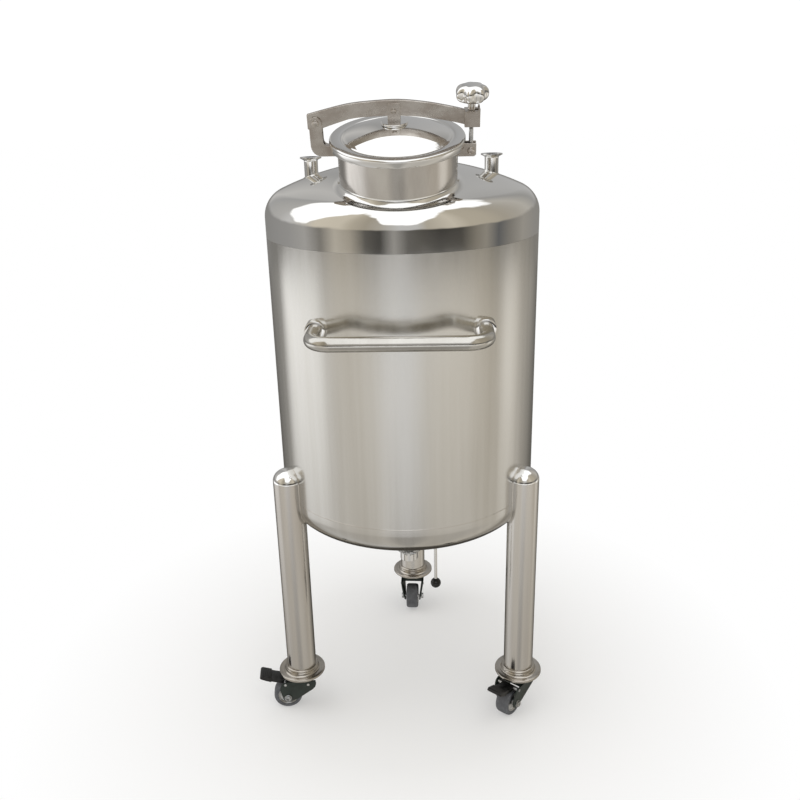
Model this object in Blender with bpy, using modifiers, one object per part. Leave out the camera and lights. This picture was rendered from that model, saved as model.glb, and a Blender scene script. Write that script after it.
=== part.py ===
"""Small mobile storage tank: domed vessel, tilted manway, push handle, three legs on castors."""

import math

import bmesh
import bpy
from mathutils import Matrix, Vector

# General
GAP = 0.0003
OVERLAP = 0.004
SHIFT = Vector((0.0274, 0.0049, 0.0))

# Vessel
SHELL_RADIUS = 0.325
WALL = 0.003
SHELL_BOTTOM = 0.618
SHELL_TOP = 1.259
TANGENT_BOTTOM = 0.602
TANGENT_TOP = 1.301
CROWN_RADIUS = 0.699
KNUCKLE_RADIUS = 0.065
BODY_STEPS = 56

# Manway, in its own tilted frame: x to the right, y away from the handle, z out of the opening
MANWAY_ORIGIN = Vector((0.0, -0.2015, 1.486))
MANWAY_TILT = math.radians(16.6)
NECK_RADIUS = 0.1274
NECK_BOTTOM = -0.114
NECK_TOP = -0.012
LIP_RADIUS = 0.1305
LID_RADIUS = 0.1433
LID_RISE = 0.0255
LID_DOME_RADIUS = 0.112
DOME_LIFT = 0.0012
GROOVE_RADIUS = 0.1175
RING_INNER = 0.1225
RING_OUTER = 0.1385
RIM_ROUND = 0.0045
SKIRT_BOTTOM = -0.016
SEAL_INNER = 0.1250
SEAL_OUTER = 0.1305
SHEET = 0.003
COLLAR_DEPTH = 0.1023
COLLAR_TILT = math.radians(14.8)
ROUND_STEPS = 48

# Lid arm and its clamp, in the manway frame
ARM_THICKNESS = 0.010
ARM_PIN = (-0.169, 0.031)
ARM_PIN_RADIUS = 0.006
ARM_TOP_EDGE = (
    (-0.186, 0.048),
    (-0.144, 0.0585),
    (-0.097, 0.0685),
    (-0.047, 0.0730),
    (0.004, 0.0745),
    (0.055, 0.0695),
    (0.106, 0.0600),
    (0.145, 0.0505),
)
ARM_BOTTOM_EDGE = (
    (0.145, 0.0205),
    (0.106, 0.0300),
    (0.055, 0.0385),
    (0.004, 0.0425),
    (-0.050, 0.0420),
    (-0.092, 0.0385),
    (-0.118, 0.0315),
    (-0.153, 0.0205),
    (-0.176, 0.0140),
    (-0.186, 0.0185),
)
CLIP_X = -0.005
CLIP_HALF = 0.0132
CLIP_DEPTH = 0.0078
CLIP_TOP = 0.0687
CLIP_BOTTOM = 0.0285
CLIP_SEAT = 0.0405
CLIP_BOLT = (-0.006, 0.0529)
CLIP_BOLT_RADIUS = 0.006
BOSS_RADIUS = 0.0285
BOSS_TOP = 0.0300
EAR_RADIUS = 0.0135
EAR_HALF = 0.0095
EAR_WEB = (-0.0172, -0.039)
SLOT_HALF = 0.0055
BOLT_X = 0.1545
BOLT_RADIUS = 0.00465
BOLT_PIN_Z = -0.0325
BOLT_PIN_RADIUS = 0.0035
HOOK_INNER = 0.0050
HOOK_OUTER = 0.0085
BRACKET_END = 0.1655
BRACKET_BOTTOM = -0.0450
BLOCK_START = 0.140
BLOCK_END = 0.172
BLOCK_BOTTOM = 0.019
BLOCK_TOP = 0.0512
BLOCK_HALF = 0.016
BLOCK_LIP = 0.005
BLOCK_SLOT_HALF = 0.0065
KNOB_RADIUS = 0.035
KNOB_LOBES = 7
KNOB_RINGS = (
    (0.0660, 0.30, 0.0),
    (0.0678, 0.62, 0.05),
    (0.0732, 0.90, 0.09),
    (0.0804, 1.00, 0.10),
    (0.0888, 0.99, 0.10),
    (0.0953, 0.88, 0.08),
    (0.1001, 0.62, 0.04),
    (0.1023, 0.30, 0.0),
)
STEM_RADIUS = 0.0078

# Fittings on the top head
VENT_X = 0.212
VENT_TOP = 1.431
VENT_BOTTOM = 1.376
VENT_RADIUS = 0.0162
FLANGE_RADIUS = 0.02525

# Push handle
HANDLE_Z = 1.087
HANDLE_HALF = 0.186
HANDLE_Y = -0.390
HANDLE_RADIUS = 0.0162
HANDLE_BEND = 0.045
SLEEVE_RADIUS = 0.0225
SLEEVE_END = -0.2868
SLEEVE_ROOT = -0.245

# Legs, feet and castors
LEG_CIRCLE = 0.335
LEG_RADIUS = 0.038
LEG_BOTTOM = 0.1163
LEG_TOP = 0.704
LEG_CAP = 0.030
LEGS = (("left", -150.0, 187.0), ("right", -30.0, 232.0), ("rear", 90.0, 268.0))
FOOT_RADIUS = 0.061
FOOT_BOTTOM = 0.110
TRAIL = 0.042
WHEEL_RADIUS = 0.038
TYRE_HALF = 0.018
RIM_RADIUS = 0.0262
HUB_HALF = 0.0190
AXLE_RADIUS = 0.004
AXLE_HALF = 0.0344
NUT_SEAT = 0.0284
NUT_RADIUS = 0.0082
NUT_HEIGHT = 0.006
RACE_RADIUS = 0.043
RACE_HEIGHT = 0.0045
CROWN_RADIUS_WIDE = 0.036
CROWN_TOP = 0.1009
CROWN_BOTTOM = 0.086
FORK_TOP = 0.094
FORK_INSIDE = 0.0205
FORK_OUTSIDE = 0.0245
FORK_SPLAY = 0.0115
CHEEK_BOTTOM = 0.024
PEDAL_PIVOT = (0.046, 0.086)
PEDAL_HALF = 0.0185
TREAD_HALF = 0.0210
TRUNNION_RADIUS = 0.0045
TRUNNION_HALF = 0.0296

# Bottom outlet
OUTLET_RADIUS = 0.019
OUTLET_BORE = 0.0165
UPPER_CLAMP_Z = 0.4491
LOWER_CLAMP_Z = 0.3904
CLAMP_HALF = 0.0070
VALVE_RADIUS = 0.0320
VALVE_BELT = 0.0345
NOZZLE_RADIUS = 0.0240
NOZZLE_BORE = 0.0205
NOZZLE_BOTTOM = 0.3540
STEM_OF_LEVER = 0.006
LEVER_ROD = 0.0043
LEVER_X = 0.073
LEVER_Z = 0.416
BALL_Z = 0.272
BALL_RADIUS = 0.0144


# Scene helpers
def clear_scene():
    for obj in list(bpy.data.objects):
        bpy.data.objects.remove(obj, do_unlink=True)


def new_collection(name):
    made = bpy.data.collections.new(name)
    bpy.context.scene.collection.children.link(made)
    return made


def surface(name, colour, metallic, roughness):
    made = bpy.data.materials.new(name)
    made.use_nodes = True
    shader = made.node_tree.nodes["Principled BSDF"]
    shader.inputs["Base Color"].default_value = (*colour, 1.0)
    shader.inputs["Metallic"].default_value = metallic
    shader.inputs["Roughness"].default_value = roughness
    made.diffuse_color = (*colour, 1.0)
    return made


def place(mesh, name, look, matrix=None):
    obj = bpy.data.objects.new(name, mesh)
    if look is None:
        HELPERS.objects.link(obj)
        obj.hide_render = True
        obj.display_type = "WIRE"
    else:
        PARTS.objects.link(obj)
        made = surface(name, *look)
        mesh.materials.append(made)
    obj.matrix_world = matrix or Matrix.Identity(4)
    return obj


# Shape helpers
def turned(name, profile, look, matrix=None, steps=ROUND_STEPS):
    """A clockwise profile of (radius, height) turned round z; closed unless it ends on the axis."""
    mesh = bpy.data.meshes.new(name)
    points = [(radius, 0.0, height) for radius, height in profile]
    edges = [(i, i + 1) for i in range(len(points) - 1)]
    if profile[0][0] > 0 or profile[-1][0] > 0:
        edges.append((len(points) - 1, 0))
    mesh.from_pydata(points, edges, [])
    obj = place(mesh, name, look, matrix)
    screw = obj.modifiers.new("turn", "SCREW")
    screw.steps = steps
    screw.render_steps = steps
    screw.use_merge_vertices = True
    screw.merge_threshold = 0.00005
    screw.use_smooth_shade = False
    return obj


def extruded(name, outline, low, high, look, matrix=None):
    """An outline of (x, z) points drawn from y = low to y = high."""
    shape = bmesh.new()
    front = [shape.verts.new((x, low, z)) for x, z in outline]
    back = [shape.verts.new((x, high, z)) for x, z in outline]
    shape.faces.new(front)
    shape.faces.new(reversed(back))
    for i, vert in enumerate(front):
        after = (i + 1) % len(front)
        shape.faces.new((vert, back[i], back[after], front[after]))
    bmesh.ops.recalc_face_normals(shape, faces=shape.faces)
    mesh = bpy.data.meshes.new(name)
    shape.to_mesh(mesh)
    shape.free()
    return place(mesh, name, look, matrix)


def box(name, low, high, look, matrix=None):
    outline = [(low[0], low[2]), (high[0], low[2]), (high[0], high[2]), (low[0], high[2])]
    return extruded(name, outline, low[1], high[1], look, matrix)


def rod(name, start, end, radius, look, matrix=None, steps=16):
    """A cylinder from start to end."""
    start = Vector(start)
    along = Vector(end) - start
    turn = along.to_track_quat("Z", "Y").to_matrix().to_4x4()
    own = Matrix.Translation(start) @ turn
    length = along.length
    profile = [(0.0, length), (radius, length), (radius, 0.0), (0.0, 0.0)]
    return turned(name, profile, look, (matrix or Matrix.Identity(4)) @ own, steps)


def bar_mesh(name, path, radius, sides=14):
    """A round bar along a level path, with a flat cap at each end."""
    points = [Vector(point) for point in path]
    shape = bmesh.new()
    rings = []
    for i, point in enumerate(points):
        along = (points[min(i + 1, len(points) - 1)] - points[max(i - 1, 0)]).normalized()
        across = along.cross(Vector((0, 0, 1)))
        ring = []
        for k in range(sides):
            angle = 2 * math.pi * (k + 0.5) / sides
            turn = across * math.cos(angle) + Vector((0, 0, math.sin(angle)))
            ring.append(shape.verts.new(point + radius * turn))
        rings.append(ring)
    for low, high in zip(rings, rings[1:]):
        for k in range(sides):
            after = (k + 1) % sides
            shape.faces.new((low[k], low[after], high[after], high[k]))
    shape.faces.new(reversed(rings[0]))
    shape.faces.new(rings[-1])
    bmesh.ops.recalc_face_normals(shape, faces=shape.faces)
    mesh = bpy.data.meshes.new(name)
    shape.to_mesh(mesh)
    shape.free()
    return mesh


def combine(obj, other, operation):
    made = obj.modifiers.new(operation.lower(), "BOOLEAN")
    made.operation = operation
    made.solver = "EXACT"
    made.object = other


def cut(obj, other):
    combine(obj, other, "DIFFERENCE")


def join(obj, other):
    combine(obj, other, "UNION")


def arc(centre, radius, start, end, count):
    """Points round centre, from one angle to another, in degrees."""
    found = []
    for i in range(count + 1):
        angle = math.radians(start + (end - start) * i / count)
        found.append((centre[0] + radius * math.cos(angle), centre[1] + radius * math.sin(angle)))
    return found


# Looks: base colour, metallic, roughness
MIRROR = ((0.86, 0.86, 0.85), 1.0, 0.05)
SATIN = ((0.72, 0.71, 0.68), 1.0, 0.30)
WARM = ((0.56, 0.51, 0.46), 1.0, 0.32)
ZINC = ((0.62, 0.63, 0.64), 1.0, 0.35)
GREEN = ((0.035, 0.060, 0.050), 0.0, 0.45)
TYRE = ((0.22, 0.225, 0.235), 0.0, 0.60)
BLACK = ((0.012, 0.012, 0.013), 0.0, 0.35)
SEAL = ((0.75, 0.75, 0.73), 0.0, 0.55)


# Vessel
def head_curve(offset):
    """(radius, height over the tangent line) of a head, from the tangent line to the apex."""
    knuckle = KNUCKLE_RADIUS + offset
    crown = CROWN_RADIUS + offset
    centre = SHELL_RADIUS - KNUCKLE_RADIUS
    turn = math.acos(centre / (CROWN_RADIUS - KNUCKLE_RADIUS))
    drop = (CROWN_RADIUS - KNUCKLE_RADIUS) * math.sin(turn)
    points = []
    for i in range(6):
        angle = turn * i / 5
        points.append((centre + knuckle * math.cos(angle), knuckle * math.sin(angle)))
    for i in range(1, 7):
        angle = turn + (math.pi / 2 - turn) * i / 6
        points.append((crown * math.cos(angle), crown * math.sin(angle) - drop))
    points[-1] = (0.0, points[-1][1])
    return points


def head_profile(rim, tangent, upwards):
    outer = head_curve(0.0)
    inner = head_curve(-WALL)
    way = 1.0 if upwards else -1.0
    outside = [(SHELL_RADIUS, rim)] + [(r, tangent + way * h) for r, h in outer]
    inside = [(SHELL_RADIUS - WALL, rim)] + [(r, tangent + way * h) for r, h in inner]
    if upwards:
        return outside[::-1] + inside
    return inside[::-1] + outside


def body_cutter(name):
    """The outside of the vessel, a gap larger: what is welded to it is trimmed with this."""
    curve = head_curve(GAP)
    profile = [(0.0, SHELL_TOP), (SHELL_RADIUS + GAP, SHELL_TOP)]
    profile += [(r, TANGENT_BOTTOM - h) for r, h in curve]
    return turned(name, profile, None, None, BODY_STEPS)


def manway_frame():
    return Matrix.Translation(MANWAY_ORIGIN) @ Matrix.Rotation(MANWAY_TILT, 4, "X")


def build_vessel():
    profile = [
        (SHELL_RADIUS, SHELL_TOP),
        (SHELL_RADIUS, SHELL_BOTTOM),
        (SHELL_RADIUS - WALL, SHELL_BOTTOM),
        (SHELL_RADIUS - WALL, SHELL_TOP),
    ]
    turned("shell", profile, SATIN, None, BODY_STEPS)
    top = turned("top_head", head_profile(SHELL_TOP + GAP, TANGENT_TOP, True), MIRROR, None, BODY_STEPS)
    bottom = head_profile(SHELL_BOTTOM - GAP, TANGENT_BOTTOM, False)
    low = turned("bottom_head", bottom, SATIN, None, BODY_STEPS)
    join(top, neck_collar())
    hole = [(0.0, 0.0), (NECK_RADIUS + GAP, 0.0), (NECK_RADIUS + GAP, -0.2), (0.0, -0.2)]
    cut(top, turned("neck_hole", hole, None, manway_frame()))
    for side, x in (("left", -VENT_X), ("right", VENT_X)):
        hole = rod("vent_hole_" + side, (x, 0, 1.30), (x, 0, 1.50), VENT_RADIUS + GAP, None, None, 28)
        cut(top, hole)
    cut(low, rod("outlet_hole", (0, 0, 0.44), (0, 0, 0.52), OUTLET_RADIUS + GAP, None, None, 32))


def neck_collar():
    """The flared ring at the root of the manway neck, square to the dome."""
    down = manway_frame() @ Vector((0, 0, -COLLAR_DEPTH))
    frame = Matrix.Translation(down) @ Matrix.Rotation(COLLAR_TILT, 4, "X")
    profile = [
        (0.1250, 0.0110),
        (0.1286, 0.0110),
        (0.1294, 0.0062),
        (0.1316, 0.0029),
        (0.1352, 0.0002),
        (0.1410, -0.0023),
        (0.1410, -0.0065),
        (0.1250, -0.0040),
    ]
    return turned("collar_ring", profile, None, frame)


# Manway
def build_manway():
    frame = manway_frame()
    inner = NECK_RADIUS - WALL
    neck = [
        (inner, NECK_TOP),
        (LIP_RADIUS, NECK_TOP),
        (LIP_RADIUS, NECK_TOP - 0.003),
        (NECK_RADIUS, NECK_TOP - 0.0045),
        (NECK_RADIUS, NECK_BOTTOM),
        (inner, NECK_BOTTOM),
    ]
    turned("manway_neck", neck, SATIN, frame)
    low = NECK_TOP + GAP
    high = -SHEET - GAP
    seal = [(SEAL_OUTER, high), (SEAL_OUTER, low), (SEAL_INNER, low), (SEAL_INNER, high)]
    turned("lid_seal", seal, SEAL, frame, 48)
    turned("manway_lid", lid_profile(), MIRROR, frame)


def lid_profile():
    dome = (LID_DOME_RADIUS**2 + LID_RISE**2) / (2 * LID_RISE)
    top = []
    for i in range(7):
        r = LID_DOME_RADIUS * i / 6
        top.append((r, LID_RISE - dome + math.sqrt(dome * dome - r * r) + DOME_LIFT))
    edge = arc((LID_RADIUS - RIM_ROUND, -RIM_ROUND), RIM_ROUND, 80, 0, 3)
    outer = top + [(GROOVE_RADIUS, -0.0006), (RING_INNER, 0.0), (RING_OUTER, 0.0)] + edge
    outer += [(LID_RADIUS, SKIRT_BOTTOM), (LID_RADIUS - SHEET, SKIRT_BOTTOM)]
    inner = [(LID_RADIUS - SHEET, -0.0052), (RING_OUTER, -SHEET), (RING_INNER, -SHEET)]
    inner += [(GROOVE_RADIUS, -SHEET - 0.0006)]
    inner += [(r, h - SHEET) for r, h in reversed(top)]
    return outer + inner


# Lid arm and its clamp
def build_arm():
    frame = manway_frame()
    half = ARM_THICKNESS / 2
    arm = extruded("lid_arm", ARM_TOP_EDGE + ARM_BOTTOM_EDGE, -half, half, WARM, frame)
    low = (BLOCK_START, -BLOCK_HALF, BLOCK_BOTTOM)
    join(arm, box("arm_block", low, (BLOCK_END, BLOCK_HALF, BLOCK_TOP), None, frame))
    low = (BLOCK_END - OVERLAP, -BLOCK_HALF, BLOCK_TOP - 0.010)
    join(arm, box("arm_lip", low, (BLOCK_END, BLOCK_HALF, BLOCK_TOP + BLOCK_LIP), None, frame))
    low = (BOLT_X - 0.007, -BLOCK_SLOT_HALF, 0.0)
    cut(arm, box("arm_slot", low, (0.200, BLOCK_SLOT_HALF, 0.080), None, frame))
    x, z = ARM_PIN
    cut(arm, rod("arm_hole", (x, -0.03, z), (x, 0.03, z), ARM_PIN_RADIUS + GAP, None, frame))
    build_clip(frame)
    build_ear(frame)
    build_swing_bolt(frame)
    build_bracket(frame)
    build_knob(frame)


def build_clip(frame):
    """The saddle over the arm, on the round boss that carries the lid."""
    low = (CLIP_X - CLIP_HALF, -CLIP_DEPTH, CLIP_BOTTOM)
    clip = box("lid_clip", low, (CLIP_X + CLIP_HALF, CLIP_DEPTH, CLIP_TOP), WARM, frame)
    clear = ARM_THICKNESS / 2 + GAP
    cut(clip, box("clip_slot", (-0.04, -clear, CLIP_SEAT), (0.04, clear, 0.090), None, frame))
    low = LID_RISE + DOME_LIFT + GAP
    boss = [
        (0.0, BOSS_TOP),
        (BOSS_RADIUS - 0.0015, BOSS_TOP),
        (BOSS_RADIUS, BOSS_TOP - 0.0015),
        (BOSS_RADIUS, low),
        (0.0, low),
    ]
    join(clip, turned("clip_boss", boss, None, frame @ Matrix.Translation((CLIP_X, 0, 0)), 32))
    x, z = CLIP_BOLT
    for side, y in (("front", -CLIP_DEPTH), ("back", CLIP_DEPTH)):
        head = rod("clip_pin_" + side, (x, y * 0.8, z), (x, y * 1.25, z), CLIP_BOLT_RADIUS, None, frame)
        join(clip, head)


def neck_trim(name, frame):
    tube = [(0.0, 0.0), (NECK_RADIUS + GAP, 0.0), (NECK_RADIUS + GAP, -0.2), (0.0, -0.2)]
    return turned(name, tube, None, frame)


def build_ear(frame):
    """The clevis on the neck that the arm turns in."""
    x, z = ARM_PIN
    top, bottom = EAR_WEB
    outline = arc((x, z), EAR_RADIUS, 180, 0, 10)
    outline += [(-0.1555, -0.006), (-0.153, -0.0135), (-0.147, top), (-0.120, top)]
    outline += [(-0.120, bottom), (-0.161, bottom), (-0.172, -0.0355), (-0.179, -0.028)]
    outline += [(-0.1825, -0.016)]
    ear = extruded("hinge_ear", outline, -EAR_HALF, EAR_HALF, WARM, frame)
    slot = box("ear_slot", (-0.21, -SLOT_HALF, -0.06), (-0.152, SLOT_HALF, 0.06), None, frame)
    cut(ear, slot)
    cut(ear, neck_trim("ear_trim", frame))
    join(ear, rod("ear_pin", (x, -0.011, z), (x, 0.011, z), ARM_PIN_RADIUS, None, frame))
    for side, y in (("front", -0.0115), ("back", 0.0115)):
        head = rod("ear_head_" + side, (x, y * 0.75, z), (x, y, z), 0.0075, None, frame)
        join(ear, head)


def build_swing_bolt(frame):
    x, z = BOLT_X, BOLT_PIN_Z
    bolt = rod("swing_bolt", (x, 0, z + 0.0055), (x, 0, BLOCK_TOP), BOLT_RADIUS, ZINC, frame)
    outside = arc((x, z), HOOK_OUTER, 0, 180, 10)
    inside = arc((x, z), HOOK_INNER, 180, 0, 8)
    join(bolt, extruded("bolt_eye", outside + inside, -0.0045, 0.0045, None, frame))


def build_bracket(frame):
    """The pair of ears on the neck that hold the swing bolt's pin."""
    x, z = BOLT_X, BOLT_PIN_Z
    top = EAR_WEB[0]
    end, bottom = BRACKET_END, BRACKET_BOTTOM
    outline = [(0.120, top), (end, top), (end, bottom + 0.003), (end - 0.005, bottom), (0.120, bottom)]
    bracket = extruded("bolt_bracket", outline, -EAR_HALF, EAR_HALF, WARM, frame)
    low = (0.140, -SLOT_HALF, -0.07)
    cut(bracket, box("bracket_slot", low, (0.18, SLOT_HALF, 0.0), None, frame))
    cut(bracket, neck_trim("bracket_trim", frame))
    join(bracket, rod("bracket_pin", (x, -0.0105, z), (x, 0.0105, z), BOLT_PIN_RADIUS, None, frame))
    for side, y in (("front", -0.0135), ("back", 0.0135)):
        head = rod("bracket_head_" + side, (x, y * 0.6, z), (x, y, z), 0.0078, None, frame)
        join(bracket, head)


def build_knob(frame):
    """A lobed hand knob over its stem; each ring is (height, size, depth of the lobes)."""
    count = KNOB_LOBES * 6
    shape = bmesh.new()
    made = []
    for height, size, depth in KNOB_RINGS:
        ring = []
        for i in range(count):
            angle = 2 * math.pi * i / count
            radius = KNOB_RADIUS * size * (1 - depth + depth * math.cos(KNOB_LOBES * angle))
            ring.append(shape.verts.new((radius * math.cos(angle), radius * math.sin(angle), height)))
        made.append(ring)
    for low, high in zip(made, made[1:]):
        for i in range(count):
            after = (i + 1) % count
            shape.faces.new((low[i], low[after], high[after], high[i]))
    shape.faces.new(reversed(made[0]))
    shape.faces.new(made[-1])
    mesh = bpy.data.meshes.new("star_knob")
    shape.to_mesh(mesh)
    shape.free()
    own = frame @ Matrix.Translation((BOLT_X, 0, 0))
    knob = place(mesh, "star_knob", MIRROR, own)
    low = (0, 0, BLOCK_TOP + GAP)
    join(knob, rod("knob_stem", low, (0, 0, 0.070), STEM_RADIUS, None, own))


# Fittings
def build_vents():
    bore = VENT_RADIUS - WALL
    profile = [
        (bore, VENT_TOP),
        (FLANGE_RADIUS, VENT_TOP),
        (FLANGE_RADIUS, VENT_TOP - 0.003),
        (VENT_RADIUS + 0.002, VENT_TOP - 0.0062),
        (VENT_RADIUS, VENT_TOP - 0.008),
        (VENT_RADIUS, VENT_BOTTOM),
        (bore, VENT_BOTTOM),
    ]
    for side, x in (("left", -VENT_X), ("right", VENT_X)):
        turned("vent_" + side, profile, MIRROR, Matrix.Translation((x, 0, 0)), 28)


def handle_path():
    corner = HANDLE_HALF - HANDLE_BEND
    bend = arc((corner, HANDLE_Y + HANDLE_BEND), HANDLE_BEND, -90, 0, 6)
    right = [(x, y, HANDLE_Z) for x, y in bend] + [(HANDLE_HALF, -0.250, HANDLE_Z)]
    left = [(-x, y, z) for x, y, z in reversed(right)]
    return left + right


def build_handle():
    mesh = bar_mesh("push_handle", handle_path(), HANDLE_RADIUS)
    handle = place(mesh, "push_handle", MIRROR)
    for side, x in (("left", -HANDLE_HALF), ("right", HANDLE_HALF)):
        start = (x, SLEEVE_END, HANDLE_Z)
        stop = (x, SLEEVE_ROOT, HANDLE_Z)
        join(handle, rod("handle_sleeve_" + side, start, stop, SLEEVE_RADIUS, None, None, 26))
    cut(handle, body_cutter("handle_trim"))


# Legs
def build_legs():
    trim = body_cutter("leg_trim")
    for side, angle, _ in LEGS:
        x = LEG_CIRCLE * math.cos(math.radians(angle))
        y = LEG_CIRCLE * math.sin(math.radians(angle))
        frame = Matrix.Translation((x, y, 0))
        leg = turned("leg_" + side, leg_profile(), SATIN, frame, 24)
        cut(leg, trim)
        turned("foot_" + side, foot_profile(), MIRROR, frame, 24)


def leg_profile():
    base = LEG_TOP - LEG_CAP
    outer = []
    inner = []
    for i in range(6):
        angle = math.radians(18 * i)
        outer.append((LEG_RADIUS * math.sin(angle), base + LEG_CAP * math.cos(angle)))
        within = (LEG_RADIUS - WALL) * math.sin(angle)
        inner.append((within, base + (LEG_CAP - WALL) * math.cos(angle)))
    outer += [(LEG_RADIUS, LEG_BOTTOM), (LEG_RADIUS - WALL, LEG_BOTTOM)]
    return outer + inner[::-1]


def foot_profile():
    """A disc with a stepped collar that the leg stands in."""
    inner = LEG_RADIUS + GAP
    seat = LEG_BOTTOM - GAP
    return [
        (0.0, seat),
        (inner, seat),
        (inner, 0.1315),
        (0.0405, 0.1315),
        (0.0440, 0.1285),
        (0.0440, 0.1225),
        (0.0455, 0.1190),
        (0.0490, 0.1165),
        (FOOT_RADIUS - 0.0015, 0.1165),
        (FOOT_RADIUS, 0.1150),
        (FOOT_RADIUS, FOOT_BOTTOM + 0.0010),
        (FOOT_RADIUS - 0.0010, FOOT_BOTTOM),
        (0.0, FOOT_BOTTOM),
    ]


# Castors, each in a frame whose x axis points the way the wheel trails
def build_castors():
    for side, angle, heading in LEGS:
        x = LEG_CIRCLE * math.cos(math.radians(angle))
        y = LEG_CIRCLE * math.sin(math.radians(angle))
        frame = Matrix.Translation((x, y, 0)) @ Matrix.Rotation(math.radians(heading), 4, "Z")
        high = FOOT_BOTTOM - GAP
        low = CROWN_TOP + GAP
        side_low = high - RACE_HEIGHT
        race = [(0.0, high), (RACE_RADIUS, high), (RACE_RADIUS, side_low), (0.038, low), (0.0, low)]
        turned("swivel_" + side, race, GREEN, frame, 24)
        build_fork(side, frame)
        build_wheel(side, frame)
        if side != "rear":
            build_pedal(side, frame)


def build_fork(side, frame):
    wide = CROWN_RADIUS_WIDE
    crown = [
        (0.0, CROWN_TOP),
        (wide - 0.003, CROWN_TOP),
        (wide, 0.096),
        (wide - 0.002, CROWN_BOTTOM),
        (0.0, CROWN_BOTTOM),
    ]
    fork = turned("fork_" + side, crown, GREEN, frame, 20)
    half = FORK_OUTSIDE + FORK_SPLAY - 0.0025
    low = (-0.026, -half, 0.0845)
    join(fork, box("bridge_" + side, low, (0.033, half, FORK_TOP), None, frame))
    outline = [(-0.034, FORK_TOP), (-0.035, 0.080), (-0.026, 0.063), (0.018, 0.030)]
    outline += arc((TRAIL, WHEEL_RADIUS), 0.014, 235, 360, 6)
    outline += [(0.061, 0.058), (0.061, 0.078), (0.052, 0.091), (0.036, FORK_TOP)]
    for way, low, high in (("a", -FORK_OUTSIDE, -FORK_INSIDE), ("b", FORK_INSIDE, FORK_OUTSIDE)):
        cheek = extruded(f"cheek_{way}_{side}", outline, low, high, None, frame)
        splay(cheek, math.copysign(FORK_SPLAY, low))
        join(fork, cheek)
    z = WHEEL_RADIUS
    start = (TRAIL, -0.04, z)
    stop = (TRAIL, 0.04, z)
    cut(fork, rod("axle_hole_" + side, start, stop, AXLE_RADIUS + GAP, None, frame, 20))


def splay(cheek, by):
    """Leans a cheek outwards: its top edge moves by that much and its lowest point stays."""
    for vert in cheek.data.vertices:
        vert.co.y += by * (vert.co.z - CHEEK_BOTTOM) / (FORK_TOP - CHEEK_BOTTOM)


def build_wheel(side, frame):
    z = WHEEL_RADIUS
    start = (TRAIL, -AXLE_HALF, z)
    stop = (TRAIL, AXLE_HALF, z)
    axle = rod("axle_" + side, start, stop, AXLE_RADIUS, ZINC, frame, 20)
    for way, end in (("a", -1), ("b", 1)):
        start = (TRAIL, end * NUT_SEAT, z)
        stop = (TRAIL, end * (NUT_SEAT + NUT_HEIGHT), z)
        join(axle, rod(f"hex_{way}_{side}", start, stop, NUT_RADIUS, None, frame, 6))
    lie = Matrix.Translation((TRAIL, 0, z)) @ Matrix.Rotation(math.radians(90), 4, "X")
    own = frame @ lie
    turned("hub_" + side, hub_profile(), ZINC, own, 24)
    turned("tyre_" + side, tyre_profile(), TYRE, own, 26)


def hub_profile():
    bore = AXLE_RADIUS + GAP
    half = [
        (bore, HUB_HALF),
        (0.0085, HUB_HALF),
        (0.0090, 0.0140),
        (0.0230, 0.0125),
        (RIM_RADIUS, TYRE_HALF - 0.001),
    ]
    return half + [(radius, -height) for radius, height in reversed(half)]


def tyre_profile():
    half = [
        (RIM_RADIUS + GAP, TYRE_HALF),
        (WHEEL_RADIUS - 0.0035, TYRE_HALF),
        (WHEEL_RADIUS - 0.0010, TYRE_HALF - 0.003),
        (WHEEL_RADIUS, TYRE_HALF - 0.009),
    ]
    return half + [(radius, -height) for radius, height in reversed(half)]


def build_pedal(side, frame):
    """The brake lever: narrow between the cheeks, and wider where it is stepped on."""
    x, z = PEDAL_PIVOT
    outline = arc((x, z), 0.0060, 60, 240, 6)
    outline += [(0.050, 0.0785), (0.070, 0.084), (0.092, 0.091), (0.110, 0.099)]
    outline += [(0.113, 0.104), (0.108, 0.108), (0.072, 0.0955), (0.054, 0.0905)]
    pedal = extruded("pedal_" + side, outline, -PEDAL_HALF, PEDAL_HALF, BLACK, frame)
    tread = [(0.084, 0.0875), (0.1115, 0.0990), (0.1140, 0.1045), (0.1080, 0.1090), (0.084, 0.1015)]
    join(pedal, extruded("tread_" + side, tread, -TREAD_HALF, TREAD_HALF, None, frame))
    reach = TRUNNION_HALF
    join(pedal, rod("trunnion_" + side, (x, -reach, z), (x, reach, z), TRUNNION_RADIUS, None, frame))


# Bottom outlet
def build_outlet():
    pipe = [
        (OUTLET_RADIUS, 0.500),
        (OUTLET_RADIUS, 0.4560),
        (FLANGE_RADIUS, 0.4525),
        (FLANGE_RADIUS, UPPER_CLAMP_Z + GAP / 2),
        (OUTLET_BORE, UPPER_CLAMP_Z + GAP / 2),
        (OUTLET_BORE, 0.500),
    ]
    turned("outlet_pipe", pipe, MIRROR, None, 32)
    turned("valve_body", valve_profile(), SATIN, None, 28)
    top = LOWER_CLAMP_Z - GAP / 2
    nozzle = [
        (FLANGE_RADIUS, top),
        (FLANGE_RADIUS, top - 0.0032),
        (NOZZLE_RADIUS, top - 0.0050),
        (NOZZLE_RADIUS, NOZZLE_BOTTOM),
        (NOZZLE_BORE, NOZZLE_BOTTOM),
        (NOZZLE_BORE, top - 0.0050),
        (OUTLET_BORE, top - 0.0032),
        (OUTLET_BORE, top),
    ]
    turned("outlet_nozzle", nozzle, MIRROR, None, 28)
    build_clamp("clamp_upper", UPPER_CLAMP_Z, 0.0335)
    build_clamp("clamp_lower", LOWER_CLAMP_Z, 0.0355)
    build_lever()


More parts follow.
